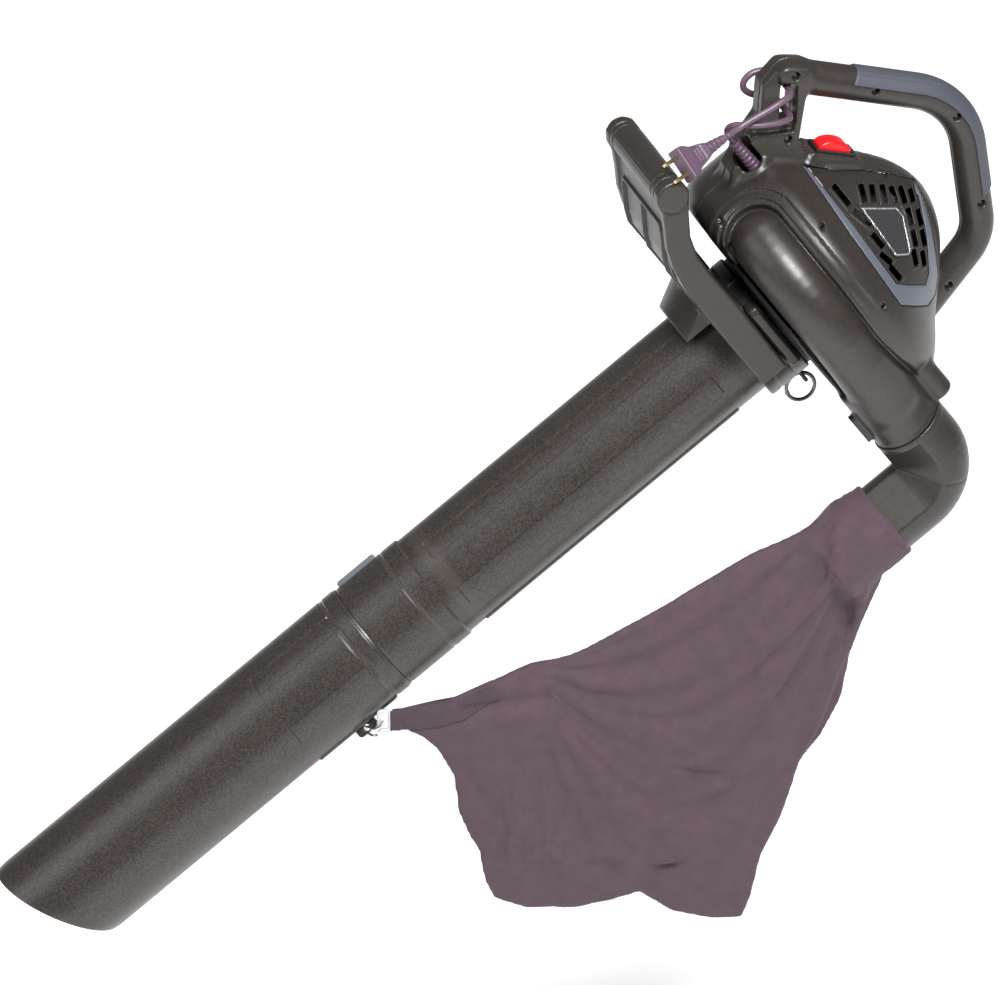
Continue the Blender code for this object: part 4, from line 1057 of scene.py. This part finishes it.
def strap():
    """Webbing sewn round the sack's corner, folded over the buckle's bar."""
    g = Grid((-374, -28, -366), (-250, 28, -300), 0.9)
    strip = [(-371, -327), (-299, -323), (-262, -309), (-257, -324), (-297, -343), (-340, -351), (-371, -351)]
    strip = polygon(g.t[:, :, 0], g.u[0], [(x * STRETCH, z) for x, z in strip])[:, None, :]
    web = np.maximum(np.abs(sack_of(g) - 0.3) - 0.9, strip)
    stitch = np.abs(strip + 3.2) - 0.35
    web = carve(web, np.maximum(stitch, 0.9 - sack_of(g)), 0.3)
    bar = np.maximum(np.maximum(np.abs(g.t + 365) - 5, np.abs(g.u + 340) - 11.5), np.abs(g.l) - 2.6)
    web = blend(web, bar, 2)
    mesh = skin("hanging_strap", web, g, BAG, 1)
    place("hanging_strap", mesh, webbing, "bag_fabric", stands_for=["bag_strap"])
    g = Grid((-388, -4, -357), (-362, 4, -323), 0.6)
    frame_ring = extruded(polygon(g.t, g.u, rounded([(-383, -327, 4), (-383, -353, 4), (-366, -353, 4),
                                                     (-366, -327, 4)])), g.l, -2, 2, 1.4)
    frame_ring = carve(frame_ring, box(g, (-379, -9, -349), (-371.5, 9, -331), 1), 0.8)
    place("buckle", skin("buckle", frame_ring, g, BAG, 1), buckle_grey, "steel", stands_for=["strap_buckle"])


strap()


def smooth_route(points, step):
    """Points about a step apart on a smooth curve through the given ones."""
    points = [Vector(p) for p in points]
    padded = [2 * points[0] - points[1], *points, 2 * points[-1] - points[-2]]
    found = []
    for p0, p1, p2, p3 in zip(padded, padded[1:], padded[2:], padded[3:]):
        count = max(1, round((p2 - p1).length / step))
        for k in range(count):
            s = k / count
            found.append(0.5 * (2 * p1 + (p2 - p0) * s + (2 * p0 - 5 * p1 + 4 * p2 - p3) * s * s
                                + (3 * p1 - p0 - 3 * p2 + p3) * s ** 3))
    return [*found, points[-1]]


def wire(name, points, radius, finish, stands_for):
    """A round wire or cable along a route in upright millimetres."""
    curve = bpy.data.curves.new(name, "CURVE")
    curve.dimensions = "3D"
    curve.bevel_depth = radius * 0.001
    curve.bevel_resolution = 6
    curve.use_fill_caps = True
    spline = curve.splines.new("POLY")
    spline.points.add(len(points) - 1)
    for point, at in zip(spline.points, points):
        point.co = (*(UPRIGHT @ at), 1)
    spline.use_smooth = True
    curve.materials.append(finish)
    obj = bpy.data.objects.new(name, curve)
    bpy.context.scene.collection.objects.link(obj)
    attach(obj, BODY)
    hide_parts(stands_for)
    return obj


HOOK = [(-375.4, -53, -338), (-380, -55, -344), (-385, -50, -348), (-387, -42, -349), (-387, -34, -353.4),
        (-387, -26, -357.6), (-385, -25, -364), (-380, -31, -366), (-378, -38, -362)]
wire("bag_hook", smooth_route(HOOK, 1.5), 1.5, steel, "strap_hook")


# Power cord

PLUG_AT, PLUG_RELIEF = Vector((-43, -57, 245)), 28
PLUG_AXIS, PLUG_WIDTH = Vector((-0.84, -0.5, -0.12)).normalized(), Vector((0.41, -0.525, -0.745))
PLUG_END = PLUG_AT - PLUG_AXIS * (PLUG_RELIEF + 0.3)
CORD_R = 3.4
CORD_ROUTE = [  # from the boot, through the strut's window, round its front bar and back to the plug
    (2.9, -10, 228), (-2.4, -10.5, 235.2), (-5, -13, 242), (-4, -18.5, 248.5), (1, -25, 252.5), (8, -30, 253.5),
    (18, -33, 253), (31, -34, 252.8), (44, -33, 253), (54, -28, 253), (58, -18, 253), (58, 0, 253),
    (58, 18, 253), (54, 28, 253), (45, 33, 253.5), (35, 34.5, 256.5), (28, 34, 263), (28, 33.5, 271),
    (35, 33.5, 278), (45, 33, 280.5), (54, 28, 280.5), (58, 18, 280), (58, 0, 279.5), (58, -18, 279),
    (54, -28, 278), (44, -34, 275.5), (30, -37, 270), (14, -39, 264), (-2, -41, 257),
    tuple(PLUG_END - PLUG_AXIS * 7), tuple(PLUG_END),
]


def power_cord():
    route = smooth_route(CORD_ROUTE, 2.5)
    flex = wire("mains_cord", route, CORD_R, cord_rubber, "power_cord")

    boot = MACHINE @ Matrix.Translation((BOOT_T, BOOT_Y, 0))
    g = Grid((-9, -9, 135), (9, 9, 183), 0.6)
    around = np.hypot(g.t, g.l)
    taper = 7.3 - 1.9 * np.clip((g.u - 150) / 32, 0, 1)
    rings = 0.7 * (np.cos((g.u - 150) * 2 * math.pi / 5.2) > 0.2) * (g.u > 148) * (g.u < 178)
    sleeve = np.maximum(around - taper + rings, np.abs(g.u - 159.6) - 22.2)
    sleeve = blend(sleeve, extruded(around - 7.3, g.u, 137.5, 147, 1), 1)
    sleeve = blend(sleeve, extruded(around - 6.6, g.u, 177.5, 181.8, 1), 1)
    mesh = skin("cord_boot", sleeve, g, boot)
    place("cord_boot", mesh, cord_rubber, "cord_rubber", stands_for=["cable_boot"])

    across = (PLUG_WIDTH - PLUG_AXIS * PLUG_WIDTH.dot(PLUG_AXIS)).normalized()
    axes = Matrix((PLUG_AXIS, across.cross(PLUG_AXIS), across)).transposed().to_4x4()
    held = UPRIGHT @ Matrix.Translation(PLUG_AT) @ axes
    g = Grid((-30, -10.5, -19.5), (38, 10.5, 19.5), 0.65)
    half = [(-2, 6), (4, 8.6), (12, 11), (20, 12.2), (25, 16.2), (30, 17.8), (35.6, 17.4)]
    outline = half + [(x, -z) for x, z in reversed(half)]
    body = extruded(polygon(g.t, g.u, softened([*outline, outline[0]], 1)), g.l, -8.6, 8.6, 3.2)
    waist = 8.8 - 3.2 * np.exp(-((g.t - 12) / 8) ** 2)
    body = -blend(-body, -(np.abs(g.l) - waist + 0 * g.u), 2)
    for k in range(3):
        low = 5 + 5 * k
        rib = polygon(g.t, g.u, [(low, -7), (low + 2, -7), (low + 2, 7), (low, 7)])
        rib = extruded(rib, np.abs(g.l), 0, 7.4 - 0.5 * (k == 1), 0.6)
        body = blend(body, rib, 0.8)
    face = rounded([(31.5, -17.6, 3), (35.8, -17.6, 1), (35.8, 17.6, 1), (31.5, 17.6, 3)])
    face = extruded(polygon(g.t, g.u, face), g.l, -8.9, 8.9, 2.5)
    body = blend(body, face, 1)
    around = np.hypot(g.l, g.u)
    cone = 4.4 + 3 * np.clip((g.t + 28) / 32, 0, 1)
    rings = 1.1 * (np.cos((g.t + 28) * 2 * math.pi / 6.4) > 0.1) * (g.t > -27) * (g.t < -2)
    relief = np.maximum(around - cone + rings, np.abs(g.t + 12.9) - 15)
    body = blend(body, relief, 1.5)
    plug = place("mains_plug", skin("mains_plug", body, g, held), cord_rubber, "cord_rubber",
                 stands_for=["plug_body"])
    for side, z in (("upper", -9.5), ("lower", 9.5)):
        rings = []
        for x, r in ((36.1, 1.95), (44, 1.95), (44.1, 2), (53.2, 2), (54.4, 1.6), (54.9, 0.9), (55, 0.1),
                     (54.8, 0.05), (40, 0.05), (36.1, 0.05)):
            turn = np.arange(0, 2 * math.pi, math.pi / 12)
            rings.append(np.stack([np.full(24, x), r * np.cos(turn), z + r * np.sin(turn)], -1))
        name = f"{side}_pin"
        place(name, lofted(name, rings, held), brass, "brass", stands_for=[f"plug_pin_{side}"])


power_cord()


# Camera, lights and floor


def studio():
    azimuth, elevation, distance = math.radians(-17.6), math.radians(27), 9.0
    right = Vector((math.cos(azimuth), math.sin(azimuth), 0))
    back = Vector((math.sin(azimuth) * math.cos(elevation), -math.cos(azimuth) * math.cos(elevation),
                   math.sin(elevation)))
    up = back.cross(right)
    target = INTAKE * 0.001 - right * 0.225 - up * 0.1475
    camera = bpy.data.objects.new("camera", bpy.data.cameras.new("camera"))
    bpy.context.scene.collection.objects.link(camera)
    camera.data.sensor_width = 36
    camera.data.lens = 36 * distance
    camera.location = target + back * distance
    camera.rotation_mode = "QUATERNION"
    camera.rotation_quaternion = (-back).to_track_quat("-Z", "Y")
    camera.data.clip_end = 50
    bpy.context.scene.camera = camera

    low = cad_box[0].z - 0.3
    bm = bmesh.new()
    bmesh.ops.create_grid(bm, x_segments=2, y_segments=2, size=9)
    mesh = bpy.data.meshes.new("floor")
    bm.to_mesh(mesh)
    bm.free()
    floor = bpy.data.objects.new("floor", mesh)
    bpy.context.scene.collection.objects.link(floor)
    floor.location = (0, 0, low)
    made, tree, shader = new_material("floor_paper")
    paper = ramp(tree, noise(tree, 3), (0.86,) * 3, (0.88,) * 3)
    tree.links.new(paper, shader.inputs["Base Color"])
    shader.inputs["Roughness"].default_value = 0.9
    shader.inputs["Emission Color"].default_value = (1, 1, 1, 1)
    shader.inputs["Emission Strength"].default_value = 0.45
    mesh.materials.append(made)

    world = bpy.data.worlds.new("studio")
    bpy.context.scene.world = world
    world.use_nodes = True
    world.node_tree.nodes["Background"].inputs["Color"].default_value = (1, 1, 1, 1)
    world.node_tree.nodes["Background"].inputs["Strength"].default_value = 0.22
    bpy.context.scene.view_settings.view_transform = "Standard"

    def lamp(name, offset, size, power):
        light = bpy.data.lights.new(name, "AREA")
        light.size = size
        light.energy = power
        obj = bpy.data.objects.new(name, light)
        bpy.context.scene.collection.objects.link(obj)
        obj.location = target + right * offset[0] + up * offset[1] + back * offset[2]
        obj.rotation_mode = "QUATERNION"
        obj.rotation_quaternion = (obj.location - target).to_track_quat("Z", "Y")

    lamp("key_light", (0.7, 1.3, 2.6), 0.9, 115)
    lamp("fill_light", (-1.8, 0.6, 1.6), 1.6, 16)
    sun = bpy.data.lights.new("sky_light", "SUN")
    sun.energy = 1.5
    sun.angle = math.radians(40)
    obj = bpy.data.objects.new("sky_light", sun)
    bpy.context.scene.collection.objects.link(obj)
    obj.rotation_mode = "QUATERNION"
    obj.rotation_quaternion = (back * 0.8 + up * 0.75 + right * 0.1).to_track_quat("Z", "Y")


studio()

FINISHES = {
    "body_plastic": body_plastic, "soft_grip": soft_grip, "switch_red": switch_red, "bag_fabric": bag_fabric,
    "cord_rubber": cord_rubber, "steel": steel, "copper": copper, "brass": brass, "carbon": dark_plastic,
    "label": plate_black,
}
# Painted shade: the parts inside the housing get the dark plastic instead of their own finish, standing in for
# the shade seen through the covers' slots.
SHADE_DARKENED_PARTS = ["motor_frame", "bearing_plate", "fan_cover", "impeller", "switch_body"]
for name, obj in nodes.items():
    wanted = next(s["material_slot"] for s in frame["record"]["subparts"] if s["node"] == name)
    obj.data.materials.clear()
    obj.data.materials.append(dark_plastic if name in SHADE_DARKENED_PARTS else FINISHES[wanted])
